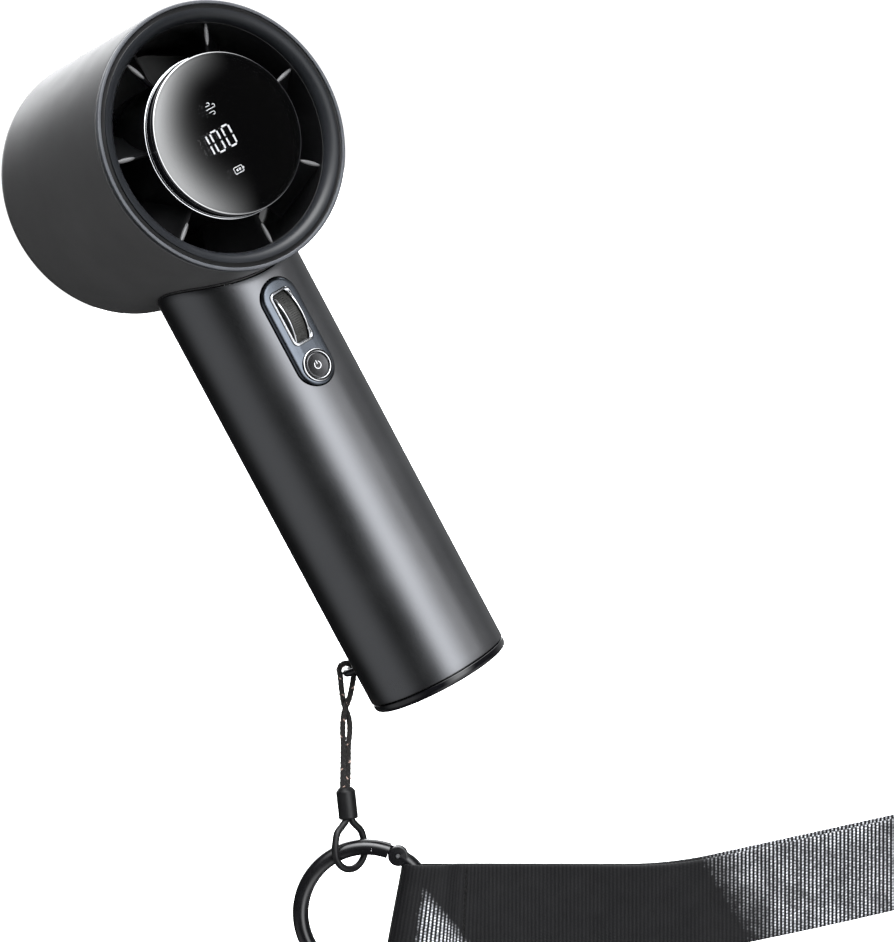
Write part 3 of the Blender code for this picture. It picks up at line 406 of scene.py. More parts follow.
# ---------------------------------------------------------------- material tools


class Signal:
    """A node's output. Arithmetic on signals adds Math nodes to their tree."""

    def __init__(self, nodes, socket):
        self.nodes, self.socket = nodes, socket

    def maths(self, operation, other=0.0, **settings):
        return self.nodes.signal("Math", {0: self, 1: other}, operation=operation, **settings)

    def level(self, low, high, to_low=0.0, to_high=1.0, **settings):
        """The range from low to high moved to another one, and clamped."""
        return self.nodes.signal("MapRange", {0: self, 1: low, 2: high, 3: to_low, 4: to_high}, **settings)

    def __add__(self, other):
        return self.maths("ADD", other)

    def __sub__(self, other):
        return self.maths("SUBTRACT", other)

    def __mul__(self, other):
        return self.maths("MULTIPLY", other)

    def __truediv__(self, other):
        return self.maths("DIVIDE", other)


class Nodes:
    """Short calls that add nodes to a tree."""

    def __init__(self, tree):
        self.tree = tree

    def put(self, value, socket):
        if isinstance(value, Signal):
            self.tree.links.new(value.socket, socket)
        else:
            socket.default_value = value

    def node(self, kind, inputs=None, **settings):
        made = self.tree.nodes.new(f"ShaderNode{kind}")
        for key, value in settings.items():
            setattr(made, key, value)
        for key, value in (inputs or {}).items():
            self.put(value, made.inputs[key])
        return made

    def signal(self, kind, inputs=None, output=0, **settings):
        return Signal(self, self.node(kind, inputs, **settings).outputs[output])

    def place(self, stretch=(1, 1, 1)):
        """Object coordinates in millimetres, stretched by these factors."""
        coordinates = self.signal("TexCoord", output="Object")
        return self.signal("Mapping", {"Vector": coordinates, "Scale": [1 / MM * value for value in stretch]})

    def noise(self, size, detail=3.0):
        """Noise whose features are about this many millimetres wide."""
        return self.signal("TexNoise", {"Vector": self.place(), "Scale": 1 / size, "Detail": detail})

    def mix(self, factor, *colours):
        first, second = (value if isinstance(value, Signal) else (*value, 1) for value in colours)
        return self.signal("Mix", {0: factor, 6: first, 7: second}, 2, data_type="RGBA")


class Look(Nodes):
    """A Principled material. Its values are named after the shader's inputs."""

    def __init__(self, name, **values):
        self.material = bpy.data.materials.new(name)
        self.material.use_nodes = True
        super().__init__(self.material.node_tree)
        self.shader = self.tree.nodes["Principled BSDF"]
        self.drive(**values)

    def drive(self, **values):
        for key, value in values.items():
            self.put(value, self.shader.inputs[key.replace("_", " ")])

    def bump(self, height, depth):
        """Drives the normal by a height from 0 to 1 that stands for this many millimetres."""
        self.drive(Normal=self.signal("Bump", {"Height": height, "Distance": depth * MM, "Strength": 1.0}))
        return self.material


def finish(name, dark, light, patch, smooth, rough, grain, depth, **values):
    """The common finish: slow colour and roughness patches and a fine surface grain."""
    look = Look(name, **values)
    slow, fine = look.noise(patch), look.noise(grain, 2)
    look.drive(Base_Color=look.mix(slow.level(0.3, 0.7), dark, light))
    smudges = look.noise(patch * 0.6, 4) * 0.6 + fine * 0.4
    look.drive(Roughness=smudges.level(0.3, 0.7, smooth, rough))
    return look.bump(fine, depth)


def gunmetal():
    """Satin anodised metal with a fine sparkle."""
    look = Look("satin_gunmetal", Metallic=1.0)
    fine = look.noise(0.07, 2)
    tone = look.noise(18) * 0.5 + fine * 0.5
    look.drive(Base_Color=look.mix(tone.level(0.35, 0.65), (0.168, 0.171, 0.180), (0.204, 0.207, 0.217)))
    look.drive(Roughness=tone.level(0.35, 0.65, 0.27, 0.36))
    return look.bump(fine, 0.0035)


def circuit_board():
    look = Look("circuit_board", Roughness=0.35)
    inputs = {"Vector": look.place(), "Scale": 0.45}
    track = look.signal("TexVoronoi", inputs, "Distance", feature="DISTANCE_TO_EDGE").level(0.02, 0.07)
    look.drive(Base_Color=look.mix(track, (0.02, 0.16, 0.06), (0.008, 0.07, 0.028)))
    return look.bump(track, 0.03)


def enamelled_copper():
    look = Look("enamelled_copper", Roughness=0.3, Metallic=1.0)
    inputs = {"Vector": look.place(), "Scale": 0.9, "Distortion": 0.6}
    turn = look.signal("TexWave", inputs, "Fac", bands_direction="Z")
    look.drive(Base_Color=look.mix(turn, (0.42, 0.15, 0.05), (0.8, 0.36, 0.15)))
    return look.bump(turn, 0.12)


def display_glass():
    """Smoked glass: a dark gloss surface that lets the lit signs behind it through."""
    look = Look("smoked_glass", Base_Color=(0.0005, 0.0005, 0.0006, 1), IOR=2.6)
    look.drive(Roughness=look.noise(6, 4).level(0.3, 0.7, 0.02, 0.045))
    clear = look.signal("BsdfTransparent", {"Color": (1, 1, 1, 1)})
    dark = Signal(look, look.shader.outputs[0])
    mixed = look.signal("MixShader", {"Fac": 0.74, 1: clear, 2: dark})
    look.put(mixed, look.tree.nodes["Material Output"].inputs["Surface"])
    return look.material


def lit_sign():
    """White light through small printed windows, a little brighter in their middle."""
    look = Look("lit_sign", Base_Color=(0.8, 0.8, 0.8, 1), Emission_Strength=15.0)
    look.drive(Emission_Color=look.mix(look.noise(0.35, 2).level(0.3, 0.7), (0.86, 0.9, 1.0), (1, 1, 1)))
    return look.material


def braid_yarn(name, dark, light):
    """Twisted filaments: fine slanting lines along each yarn."""
    look = Look(name, Roughness=0.7, Sheen_Weight=0.12, Sheen_Roughness=0.4)
    inputs = {"Vector": look.place((1, 1.6, 1)), "Scale": 3.2, "Distortion": 1.5, "Detail": 2.0}
    wave = look.signal("TexWave", inputs, "Fac")
    strand = wave * look.noise(0.25)
    look.drive(Base_Color=look.mix(strand.level(0.1, 0.5), dark, light))
    return look.bump(wave, 0.03)


def webbing_cloth():
    """Satin webbing. The mesh has the ribs. The nodes add the threads, and a painted highlight on them where
    the strap curves round the wrist and slopes down by the fold.
    """
    look = Look("webbing_cloth")
    weave = look.signal("Attribute", output="Vector", attribute_name="weave")
    split = look.node("SeparateXYZ", {0: weave})
    along, across, from_fold = (Signal(look, socket) for socket in split.outputs)
    rib = (along * (FULL_TURN / RIB_PITCH)).maths("SINE").level(-1, 1)
    shift = (along / RIB_PITCH).maths("FLOOR") * (WARP_PITCH / 2)
    warp = ((across + shift) * (FULL_TURN / WARP_PITCH)).maths("SINE").level(-1, 1)
    thread = rib * warp.level(0, 0.6, 0.5, 1.0)
    cloudy = look.noise(6, 4).level(0.3, 0.7)
    fibre = look.noise(0.16, 2)
    uneven = (look.noise(1.6) - 0.5) * 7.0

    # Painted highlight: a slanted band where the strap turns round the wrist and a diagonal band by the fold,
    # where the key light's reflection falls.
    slanted = from_fold + across * 0.58 + uneven
    patchy = look.noise(8, 4).level(0.34, 0.64, 0.42, 1.0)
    wrist = slanted.level(PAINTED_SHEEN_START, PAINTED_SHEEN_START + 12) * patchy
    fold_sheen_start = (from_fold + uneven * 0.4).level(9.0, 11.0)
    fold_sheen_end = (from_fold + across * 0.95 + uneven * 0.5).level(11.5, 16.0, 1.0, 0.0)
    painted_sheen_zones = wrist + fold_sheen_start * fold_sheen_end * 1.2
    painted_glint_threads = thread.level(0.35, 0.95) * look.noise(0.5).level(0.36, 0.62, 0.25, 1.0)
    painted_highlight_mask = (painted_sheen_zones * painted_glint_threads).maths("ADD", use_clamp=True)

    tone = thread * 0.65 + cloudy * 0.35
    base = look.mix(tone, (0.006, 0.006, 0.0066), (0.012, 0.012, 0.0128))
    # Painted highlight: in those bands the threads' base colour turns pale silver.
    look.drive(Base_Color=look.mix(painted_highlight_mask, base, (0.85, 0.87, 0.93)))
    look.drive(Roughness=fibre.level(0.3, 0.7, 0.42, 0.62), Specular_IOR_Level=painted_highlight_mask.level(0, 1, 0.12, 0.9))
    return look.bump(thread + fibre * 0.2, 0.05)


# The finishes: dark and light colour, patch size, lowest and highest roughness, grain size and depth.
SHELL = finish("soft_touch_shell", (0.05, 0.05, 0.051), (0.057, 0.057, 0.058), 14, 0.38, 0.46, 0.11, 0.006)
BEZEL = finish(
    "satin_bezel", (0.0105, 0.0114, 0.0136), (0.0133, 0.0144, 0.0165), 10, 0.30, 0.38, 0.09, 0.004,
    Specular_IOR_Level=0.22,
)
RIM_LINE = finish(
    "bezel_line", (0.058, 0.061, 0.069), (0.075, 0.079, 0.087), 6, 0.34, 0.44, 0.09, 0.003,
    Specular_IOR_Level=0.3,
)
# Painted highlight: pale grey for beads on the vanes' front edges, in place of the light those edges catch.
PAINTED_VANE_HIGHLIGHT = finish("painted_vane_highlight", (0.09, 0.09, 0.092), (0.16, 0.16, 0.162), 2.5, 0.38, 0.5, 0.12, 0.004)
DUCT = finish(
    "duct_black", (0.0035, 0.0035, 0.004), (0.006, 0.006, 0.0065), 8, 0.30, 0.42, 0.12, 0.006,
    Specular_IOR_Level=0.35,
)
PANEL = finish(
    "panel_metal", (0.125, 0.14, 0.165), (0.15, 0.168, 0.195), 6, 0.23, 0.31, 0.06, 0.003,
    Metallic=1,
)
KEY = finish("key_metal", (0.12, 0.12, 0.125), (0.15, 0.15, 0.155), 3, 0.28, 0.36, 0.06, 0.003, Metallic=1)
PIANO = finish(
    "piano_black", (0.003, 0.003, 0.004), (0.0045, 0.0045, 0.0055), 9, 0.05, 0.09, 0.4, 0.0008,
    Coat_Weight=0.5, Coat_Roughness=0.03,
)
CHROME = finish(
    "polished_chrome", (0.78, 0.79, 0.82), (0.86, 0.87, 0.89), 3, 0.06, 0.13, 0.2, 0.0012,
    Metallic=1,
)
SLEEVE = finish(
    "black_sleeve", (0.0035, 0.0035, 0.004), (0.006, 0.006, 0.0065), 2.2, 0.36, 0.5, 0.16, 0.01,
    Specular_IOR_Level=0.4,
)
RUBBER = finish("soft_rubber", (0.012, 0.012, 0.013), (0.019, 0.019, 0.02), 2.2, 0.42, 0.6, 0.16, 0.012)
WHEEL = finish("wheel_rubber", (0.016, 0.016, 0.015), (0.026, 0.026, 0.024), 1.2, 0.42, 0.58, 0.1, 0.008)
ENAMEL = finish(
    "black_enamel", (0.0035, 0.0035, 0.004), (0.006, 0.006, 0.007), 5, 0.18, 0.28, 0.7, 0.004,
    Coat_Weight=0.4, Coat_Roughness=0.1,
)
STEEL = finish(
    "machined_steel", (0.44, 0.44, 0.46), (0.56, 0.56, 0.58), 2.5, 0.2, 0.36, 0.15, 0.003,
    Metallic=1,
)
CELL = finish(
    "cell_wrap", (0.045, 0.155, 0.31), (0.06, 0.19, 0.37), 12, 0.2, 0.32, 1.5, 0.01, Coat_Weight=0.4
)
MAGNET = finish(
    "sintered_magnet", (0.16, 0.16, 0.17), (0.24, 0.24, 0.25), 1.5, 0.3, 0.5, 0.12, 0.01, Metallic=0.8
)
EDGE = finish(
    "polished_edge", (0.008, 0.008, 0.01), (0.014, 0.014, 0.016), 4, 0.06, 0.12, 0.3, 0.0006,
    IOR=4.5,
)
MARK = finish("printed_mark", (0.55, 0.55, 0.57), (0.68, 0.68, 0.7), 0.3, 0.3, 0.5, 0.05, 0.002)
THREAD = finish(
    "sewing_thread", (0.006, 0.006, 0.006), (0.012, 0.012, 0.012), 0.6, 0.7, 0.9, 0.1, 0.01,
    Specular_IOR_Level=0.1,
)
GUNMETAL = gunmetal()
BOARD = circuit_board()
COPPER = enamelled_copper()
GLASS = display_glass()
LIT = lit_sign()
YARN = braid_yarn("dark_yarn", (0.006, 0.005, 0.005), (0.022, 0.019, 0.018))
FLECK = braid_yarn("fleck_yarn", (0.32, 0.19, 0.15), (0.72, 0.55, 0.48))
WEBBING = webbing_cloth()

# CAD nodes that keep their own shape: everything inside the shells.
KEPT = {
    STEEL: "stator_core rotor_can motor_shaft front_bearing rear_bearing impeller_nut neck_screw_left "
    "neck_screw_right battery_tab_top battery_tab_bottom usb_c_port tact_switch wheel_axle "
    "base_screw_left base_screw_right",
    COPPER: "motor_windings",
    MAGNET: "magnet_ring",
    BOARD: "main_board control_board display_board",
    CELL: "battery_cell",
    ENAMEL: "neck_bracket",
    RUBBER: "neck_seal motor_cable display_cable",
    DUCT: "chassis_front chassis_rear speed_encoder wheel_support switch_plunger",
}


def dress_kept_nodes():
    for material, names in KEPT.items():
        for name in names.split():
            slots = frame["nodes"][name].data.materials
            slots.clear()
            slots.append(material)


# ---------------------------------------------------------------- head


def head_distance(face):
    """How far a face is from the head's axis, in mm."""
    return math.hypot(face.center.x / MM, face.center.z / MM - HEAD_Z)


def head_shell():
    """The barrel: a thin tube with a large round at the rear and a fine edge at the front."""
    inner = HEAD_R - BARREL_WALL
    centre = (HEAD_R - BARREL_ROUND, BARREL_REAR + BARREL_ROUND)
    front = [(inner, BARREL_FRONT), (HEAD_R, BARREL_FRONT), (HEAD_R, 0), (inner, 0)]
    mouth = rounded(front, [0.15, 0.3, 0, 0])
    outside = arc(centre, BARREL_ROUND, 0, -90, 20)
    inside = arc(centre, BARREL_ROUND - BARREL_WALL, -90, 0, 14)
    data = revolve(mouth[:-2] + outside + inside, 220)
    piece("head_shell", data, HEAD, [SHELL], "head_barrel")


def front_rim():
    """The bezel: a satin rim, a dark groove and a rounded lip that rolls into the duct."""
    flange = BARREL_FRONT + GAP
    skirt = HEAD_R - BARREL_WALL - GAP
    seat = DUCT_OUTER + GAP
    floor = FACE - GROOVE_DEPTH
    inner, outer = GROOVE_R
    lip = arc((DUCT_R + LIP_ROUND + 0.1, FACE - LIP_ROUND), LIP_ROUND, 176, 88, 18)
    groove = [(inner, FACE), (inner, floor), (outer, floor), (outer, FACE)]
    rim = [(HEAD_R, FACE), (HEAD_R, flange), (skirt, flange), (skirt, BEZEL_REAR), (seat, BEZEL_REAR)]
    radii = [0.25, 0.15, 0.15, 0.2, 0.35, 0.2, 0.1, 0.2, 0.2, 0]
    outline = rounded([*groove, *rim, (seat, FACE - LIP_ROUND + 0.2)], radii)
    data = revolve(lip + outline, 240)
    obj = piece("front_rim", data, HEAD, [BEZEL, RIM_LINE, DUCT], "front_bezel")
    for face in obj.data.polygons:
        r = head_distance(face)
        if r > outer - 0.02:
            face.material_index = 1
        elif r > inner + 0.05:
            face.material_index = 2
    return obj


def blade(inner, outer, front, rear, sweep, thickness, lean=0.0):
    """A curved blade between two radii: round in front, thin at the rear, and turning by sweep."""
    chord_steps, span_steps = 22, 8
    rings = []
    for station in range(span_steps + 1):
        share = station / span_steps
        r = inner + (outer - inner) * share
        side_a, side_b = [], []
        for step in range(chord_steps + 1):
            t = step / chord_steps
            angle = -sweep * t**1.4 + lean * math.sin(share * math.pi / 2)
            height = front + t * (rear - front)
            swell = math.sqrt(min(1.0, t * 14)) * (1 - 0.62 * t) * thickness / 2
            for points, sign in ((side_a, 1), (side_b, -1)):
                turn = angle + sign * swell / r
                points.append((r * math.cos(turn), r * math.sin(turn), height))
        rings.append(side_a + side_b[:0:-1])
    return skin(rings)


def guide_vanes():
    """The duct, its seven vanes and the fixed hub behind the display."""
    front, rear, overlap = DUCT_FRONT, DUCT_REAR, 0.5
    sleeve = [(DUCT_R, front), (DUCT_OUTER, front), (DUCT_OUTER, rear), (DUCT_R, rear)]
    inner, seat_r, bore, wall = HUB_R - 1.3, 4.2, 3.15, 20
    hub = [(HUB_R, IMPELLER_FRONT + 0.6), (inner, IMPELLER_FRONT + 0.6), (inner, wall), (seat_r, wall)]
    hub += [(seat_r, -2.8), (bore, -2.8), (bore, wall + 2), (inner, wall + 2)]
    hub += [(inner, PUCK_BACK - 1.2), (HUB_R, PUCK_BACK - 1.2)]
    start = Matrix.Rotation(-math.pi / 2, 4, "Z")
    vane = blade(HUB_R - overlap, DUCT_R + overlap, VANE_FRONT, VANE_REAR, math.radians(22), 1.15)
    vanes = moved(repeated(vane, VANES), start)
    data = revolve(rounded(sleeve, 0.2, 2), 160)
    data = carved(data, (JOIN, vanes), (JOIN, revolve(rounded(hub, 0.25, 2), 128)))
    piece("guide_vanes", data, HEAD, [DUCT], "guide_vane_frame")

    # Painted highlight: a pale grey bead along each vane's front edge, tapering off towards the hub.
    reach = DUCT_R - HUB_R - 4.4
    path = [(DUCT_R + 0.3 - reach * (1 - step / 12), 0, VANE_FRONT - 0.25) for step in range(13)]
    edges = moved(repeated(tube(path, 0.58, 12, end_round=3.4), VANES), start)
    piece("painted_vane_highlight_beads", edges, HEAD, [PAINTED_VANE_HIGHLIGHT])


def intake_grille():
    """The rear grille: a rim held behind the barrel's edge, rounded bars, a ring and a boss."""
    rear, front, outer = GRILLE_REAR, GRILLE_FRONT, GRILLE_FLANGE_R
    inner = HEAD_R - BARREL_ROUND - 0.4
    rim = [(outer, front), (outer, front - 1.2), (inner, front - 1.2), (inner, rear)]
    rim += [(inner - 1.6, rear), (inner - 1.6, front)]
    ring = [(15.4, rear + 0.4), (16.8, rear + 0.4), (16.8, -30.8), (15.4, -30.8)]
    boss = [(0, rear + 2.3), (6.2, rear + 2.3), (6.2, rear + 0.3), (0, rear + 0.3)]
    section = rounded_box(0.55, 0.65, 0.35, 4)
    bar = skin([[(5.0 + 2.1 * step, w, rear + 1.2 + v) for w, v in section] for step in range(11)])
    data = carved(
        revolve(rounded(rim, [0.2, 0.2, 0.1, 0.5, 0.5, 0.3]), 128),
        (JOIN, repeated(bar, GRILLE_BARS)),
        (JOIN, revolve(rounded(ring, 0.5), 96)),
        (JOIN, revolve(rounded(boss, [0, 0.3, 0.8, 0]), 64)),
    )
    piece("intake_grille", data, HEAD, [DUCT], "rear_grille")


def impeller():
    """The turning wheel: a domed hub that covers the motor, and nine twisted blades."""
    wall, round_r, shoulder, bore = 1.4, 7.3, -5.0, 1.65
    drop = shoulder - IMPELLER_NOSE
    centre = (round_r, shoulder)
    profile = [(HUB_R - 0.2, IMPELLER_FRONT), (HUB_R, IMPELLER_FRONT - 0.2)]
    profile += arc(centre, HUB_R - round_r, 0, -90, 20, drop)
    step_r = 5.0
    profile += [(bore, IMPELLER_NOSE), (bore, shoulder - GAP)]
    profile += [(step_r, shoulder - GAP), (step_r, IMPELLER_NOSE + wall)]
    profile += arc(centre, HUB_R - round_r - wall, -90, 0, 14, drop - wall)
    profile.append((HUB_R - wall, IMPELLER_FRONT))
    fin = blade(HUB_R - 0.9, IMPELLER_R - 0.02, 6.3, -5.7, math.radians(-62), 1.5, math.radians(3))
    data = carved(revolve(profile, 128), (JOIN, repeated(fin, BLADES)))
    piece("impeller_wheel", data, HEAD, [DUCT], "impeller", "impeller_unit")


# ---------------------------------------------------------------- display


def display_puck():
    """The cup that holds the display, and the bright ring behind it."""
    inner = PUCK_R - 1.1
    floor = PUCK_BACK + 0.55
    cup = [(0, PUCK_BACK), (PUCK_R, PUCK_BACK), (PUCK_R, PUCK_RIM)]
    cup += [(inner, PUCK_RIM), (inner, floor), (0, floor)]
    data = revolve(rounded(cup, [0, 0.5, 0.2, 0.1, 0.1, 0]), 200)
    piece("puck_cup", data, HEAD, [PIANO], "display_housing")
    rear, front = span("display_base_ring", FORWARD)
    ring = [(17.0, rear), (BASE_RING_R, rear), (BASE_RING_R, front), (17.0, front)]
    data = revolve(rounded(ring, [0.1, 0.25, 0.25, 0.1]), 200)
    piece("puck_base_ring", data, HEAD, [CHROME], "display_base_ring")


def display_lens():
    """The smoked lens, a shallow dome with a bright polished edge, and the dark mask behind it."""
    rise, fillet, rim = 1.3, 0.45, PUCK_R - 0.45
    edge = LENS_CREST - rise
    dome = [(rim * index / 32, LENS_CREST - rise * (index / 32) ** 4) for index in range(33)]
    dome += arc((rim, edge - fillet), fillet, 72, 0, 8)
    inner, back = PUCK_R - 2.6, LENS_BACK
    dome += [(PUCK_R, back + 0.1), (PUCK_R - 0.1, back), (inner, back), (inner, back + 0.2), (0, back + 0.2)]
    obj = piece("lens", revolve(dome, 240), HEAD, [GLASS, EDGE, PIANO], "display_lens")
    for face in obj.data.polygons:
        if head_distance(face) > rim - 0.02:
            face.material_index = 1 if -face.center.y / MM > edge - fillet else 2
    low, high, reach = BOARD_FRONT + 0.02, BOARD_FRONT + 0.16, PUCK_R - 1.4
    data = revolve([(0, low), (reach, low), (reach, high), (0, high)], 96)
    piece("display_mask", data, HEAD, [DUCT], "display_light_guide")


SEGMENTS = {
    "top": ((0, 1), (1, 1)),
    "bottom": ((0, 0), (1, 0)),
    "upper_left": ((0, 0.5), (0, 1)),
    "upper_right": ((1, 0.5), (1, 1)),
    "lower_left": ((0, 0), (0, 0.5)),
    "lower_right": ((1, 0), (1, 0.5)),
}
DIGITS = {"0": tuple(SEGMENTS), "1": ("upper_right", "lower_right")}


def digit(character, left, bottom):
    """The outlines of one display digit: a bar with nearly blunt ends for each lit segment."""
    width, height, stroke, trim, tip = 2.2, 5.45, 0.46, 0.26, 0.12
    shapes = []
    for name in DIGITS[character]:
        a, b = (Vector((left + x * width, bottom + y * height)) for x, y in SEGMENTS[name])
        along = (b - a).normalized()
        a, b = a + along * trim, b - along * trim
        side = Vector((-along.y, along.x)) * stroke / 2
        inset = along * stroke * tip
        shapes.append((a, a + inset + side, b - inset + side, b, b - inset - side, a + inset - side))
    return shapes


def display_signs():
    """The lit content: a number, an air symbol above it and a battery symbol below."""
    back = BOARD_FRONT + 0.18
    front = back + 0.06

    def sign(name, meshes, sharp=SHARP):
        piece(name, merged(meshes), HEAD, [LIT], sharp=sharp)

    shapes = []
    for character, left in (("1", -7.3), ("0", -3.7), ("0", 0.05)):
        shapes += digit(character, left, -3.4)
    sign("speed_digits", [prism(outline, back, front) for outline in shapes], math.radians(20))

    # Each row of the air symbol: left end, right end, and the radius of its hook, upwards or downwards.
    rows = ((-1.1, -0.1, 0.38), (-1.4, 1.15, 0.42), (-0.9, 0.3, -0.38))
    breeze = []
    for row, (left, right, curl) in enumerate(rows):
        height = 8.3 - row * 0.88
        way = math.copysign(1, curl)
        hook = arc((right, height + curl), abs(curl), -90 * way, 130 * way, 10)
        line = [(left, height), (right, height)] + hook[1:]
        breeze.append(tube([(x, y, (back + front) / 2) for x, y in line], 0.09, 8))
    sign("air_sign", breeze)

    def boxed(half_width, half_height, radius, centre_x=0.0):
        return shifted(rounded_box(half_width, half_height, radius, 4), centre_x - 1.05, -9.4)

    case, hollow = boxed(1.4, 0.92, 0.3), boxed(1.22, 0.74, 0.18)
    walls = ((case, back), (case, front), (hollow, front), (hollow, back))
    bars = [skin([[(x, y, z) for x, y in ring] for ring, z in walls], wrap=True)]
    for box in (boxed(0.26, 0.3, 0.05, -0.4), boxed(0.26, 0.3, 0.05, 0.4), boxed(0.12, 0.26, 0.08, 1.6)):
        bars.append(prism(box, back, front))
    sign("battery_sign", bars)


# ---------------------------------------------------------------- handle


def handle_shell():
    """The satin tube, saddle-cut under the head, with openings for the panel, port and anchor."""
    rows, columns = 64, 240
    lip = ((HANDLE_WALL - 0.15, 0.0), (0.35, 0.0), (0.16, 0.05), (0.04, 0.16))
    crown = ((0.03, 0.08), (0.12, 0.14))
    rings = []
    for column in range(columns):
        angle = column * FULL_TURN / columns
        across, forward = math.cos(angle), math.sin(angle)

        def wall(inset):
            """One wall's (inset, height) points, from the bottom edge up to the saddle under the head."""
            top = HEAD_Z - math.sqrt(SADDLE_R**2 - ((HANDLE_R - inset) * across) ** 2)
            rise = (top - HANDLE_BOTTOM - 0.5) / rows
            return [(inset, HANDLE_BOTTOM + 0.35 + rise * row) for row in range(rows + 1)]

        outside = wall(0)
        section = [(inset, HANDLE_BOTTOM + drop) for inset, drop in lip] + outside
        section += [(inset, outside[-1][1] + rise) for inset, rise in crown] + wall(HANDLE_WALL)[::-1]
        rings.append([((HANDLE_R - inset) * across, (HANDLE_R - inset) * forward, z) for inset, z in section])
    opening = shifted(stadium(PANEL_HALF_WIDTH + GAP, PANEL_HALF_LENGTH + GAP), 0, PANEL_Z)
    port = shifted(rounded_box(4.8, 1.95, 1.9), 0, middle("usb_c_port", Z))
    steps = [(CUT, moved(prism(opening, 5, 25), FRONT)), (CUT, moved(prism(port, -30, -10), FRONT))]
    for side in (-1, 1):
        leg = [(side * ANCHOR_HALF_WIDTH, y, 0) for y in (13, 22)]
        steps.append((CUT, moved(tube(leg, ANCHOR_WIRE_R + 0.15, 32), anchor_place())))
    data = carved(skin(rings, wrap=True), *steps)
    return piece("handle_shell", data, UPRIGHT, [GUNMETAL], "handle_tube")


def bowed(data):
    """Bends a face-frame mesh round the handle's axis, so that its front follows the handle."""
    for vertex in data.vertices:
        vertex.co.z -= PANEL_BOW_R - math.sqrt(PANEL_BOW_R**2 - vertex.co.x**2)
    return data


def panel_plate():
    """The stadium plate: a wide soft bevel round a gently curved face."""
    levels = [(0.3, PANEL_BACK), (0, PANEL_BACK + 0.3)]
    bevel = ((0, -1.0), (0.04, -0.62), (0.16, -0.34), (0.42, -0.12), (0.75, -0.02))
    levels += [(inset, PANEL_FACE + height) for inset, height in bevel]
    levels += [(inset, PANEL_FACE) for inset in (1.05, 2.0, 3.4)]
    data = stack([(stadium(PANEL_HALF_WIDTH - inset, PANEL_HALF_LENGTH - inset), z) for inset, z in levels])
    play = 0.12
    window = shifted(rounded_box(WINDOW_HALF[0] + play, WINDOW_HALF[1] + play, 1.6), 0, WINDOW_Z - PANEL_Z)
    button = shifted(circle(BUTTON_RING_R + play, 64), 0, BUTTON_Z - PANEL_Z)
    data = bowed(carved(data, (CUT, prism(window, 5, 30)), (CUT, prism(button, 5, 30))))
    place = FRONT @ Matrix.Translation((0, PANEL_Z, 0))
    return piece("panel_plate", data, place, [PANEL], "control_panel")


def window_frame():
    """The chrome frame round the wheel: a raised outer bead and a lower inner one."""
    half_w, half_h = WINDOW_HALF
    front, bead = TRIM_FRONT, 0.22
    section = [(0, TRIM_BACK), (0, front - bead)]
    section += [(bead - bead * math.cos(a), front - bead + bead * math.sin(a)) for a in (0.6, 1.2, 1.57, 2.2)]
    section += [(0.48, front - 0.3), (0.53, front - 0.34), (0.62, front - 0.26), (0.76, front - 0.42)]
    section += [(0.8, front - 0.9), (0.7, TRIM_BACK)]
    layers = []
    for inset, z in section:
        outline = rounded_box(half_w - inset, half_h - inset, max(0.5, 1.5 - inset), 12)
        layers.append([(x, y, z) for x, y in shifted(outline, 0, WINDOW_Z)])
    data = bowed(skin(list(zip(*layers)), wrap=True))
    piece("window_frame", data, FRONT, [CHROME], "window_trim")


def wheel():
    """The thumb wheel: a finely ribbed dark band between two chrome rims."""
    ribs, rib_depth, steps_per_rib, bore = 110, 0.05, 4, 0.95
    section = [(-1, 0.25), (-0.86, 0.06), (-0.5, 0.0), (0, -0.02), (0.5, 0.0), (0.86, 0.06), (1, 0.25)]
    rings = []
    for index in range(ribs * steps_per_rib):
        angle = index * FULL_TURN / (ribs * steps_per_rib)
        depth = rib_depth * (1 - math.cos(index * FULL_TURN / steps_per_rib))
        ring = [(x, WHEEL_R - inset - (depth if abs(x) < 0.9 else 0)) for x, inset in section]
        ring += [(1, bore), (-1, bore)]
        rings.append([(x * WHEEL_HALF, r * math.sin(angle), r * math.cos(angle)) for x, r in ring])
    place = Matrix.Translation((0, -WHEEL_AXIS, WHEEL_Z))
    piece("wheel_band", skin(rings, wrap=True), place, [WHEEL], "speed_wheel", "wheel_unit")
    place = place @ Matrix.Rotation(math.pi / 2, 4, "Y")
    for side in ("rim_left", "rim_right"):
        low, high = span(f"wheel_{side}", X)
        points = [(RIM_R - 2, low), (RIM_R, low), (RIM_R, high), (RIM_R - 2, high)]
        data = revolve(rounded(points, [0.1, 0.5, 0.5, 0.1], 6), 160)
        obj = piece(f"chrome_{side}", data, place, [CHROME, DUCT], f"wheel_{side}", "wheel_unit")
        # Painted shade: the rims' flat sides, down in the dark cavity beside the band, get the black duct
        # material in place of chrome.
        for face in obj.data.polygons:
            face.material_index = int(abs(face.normal.x) > 0.97)


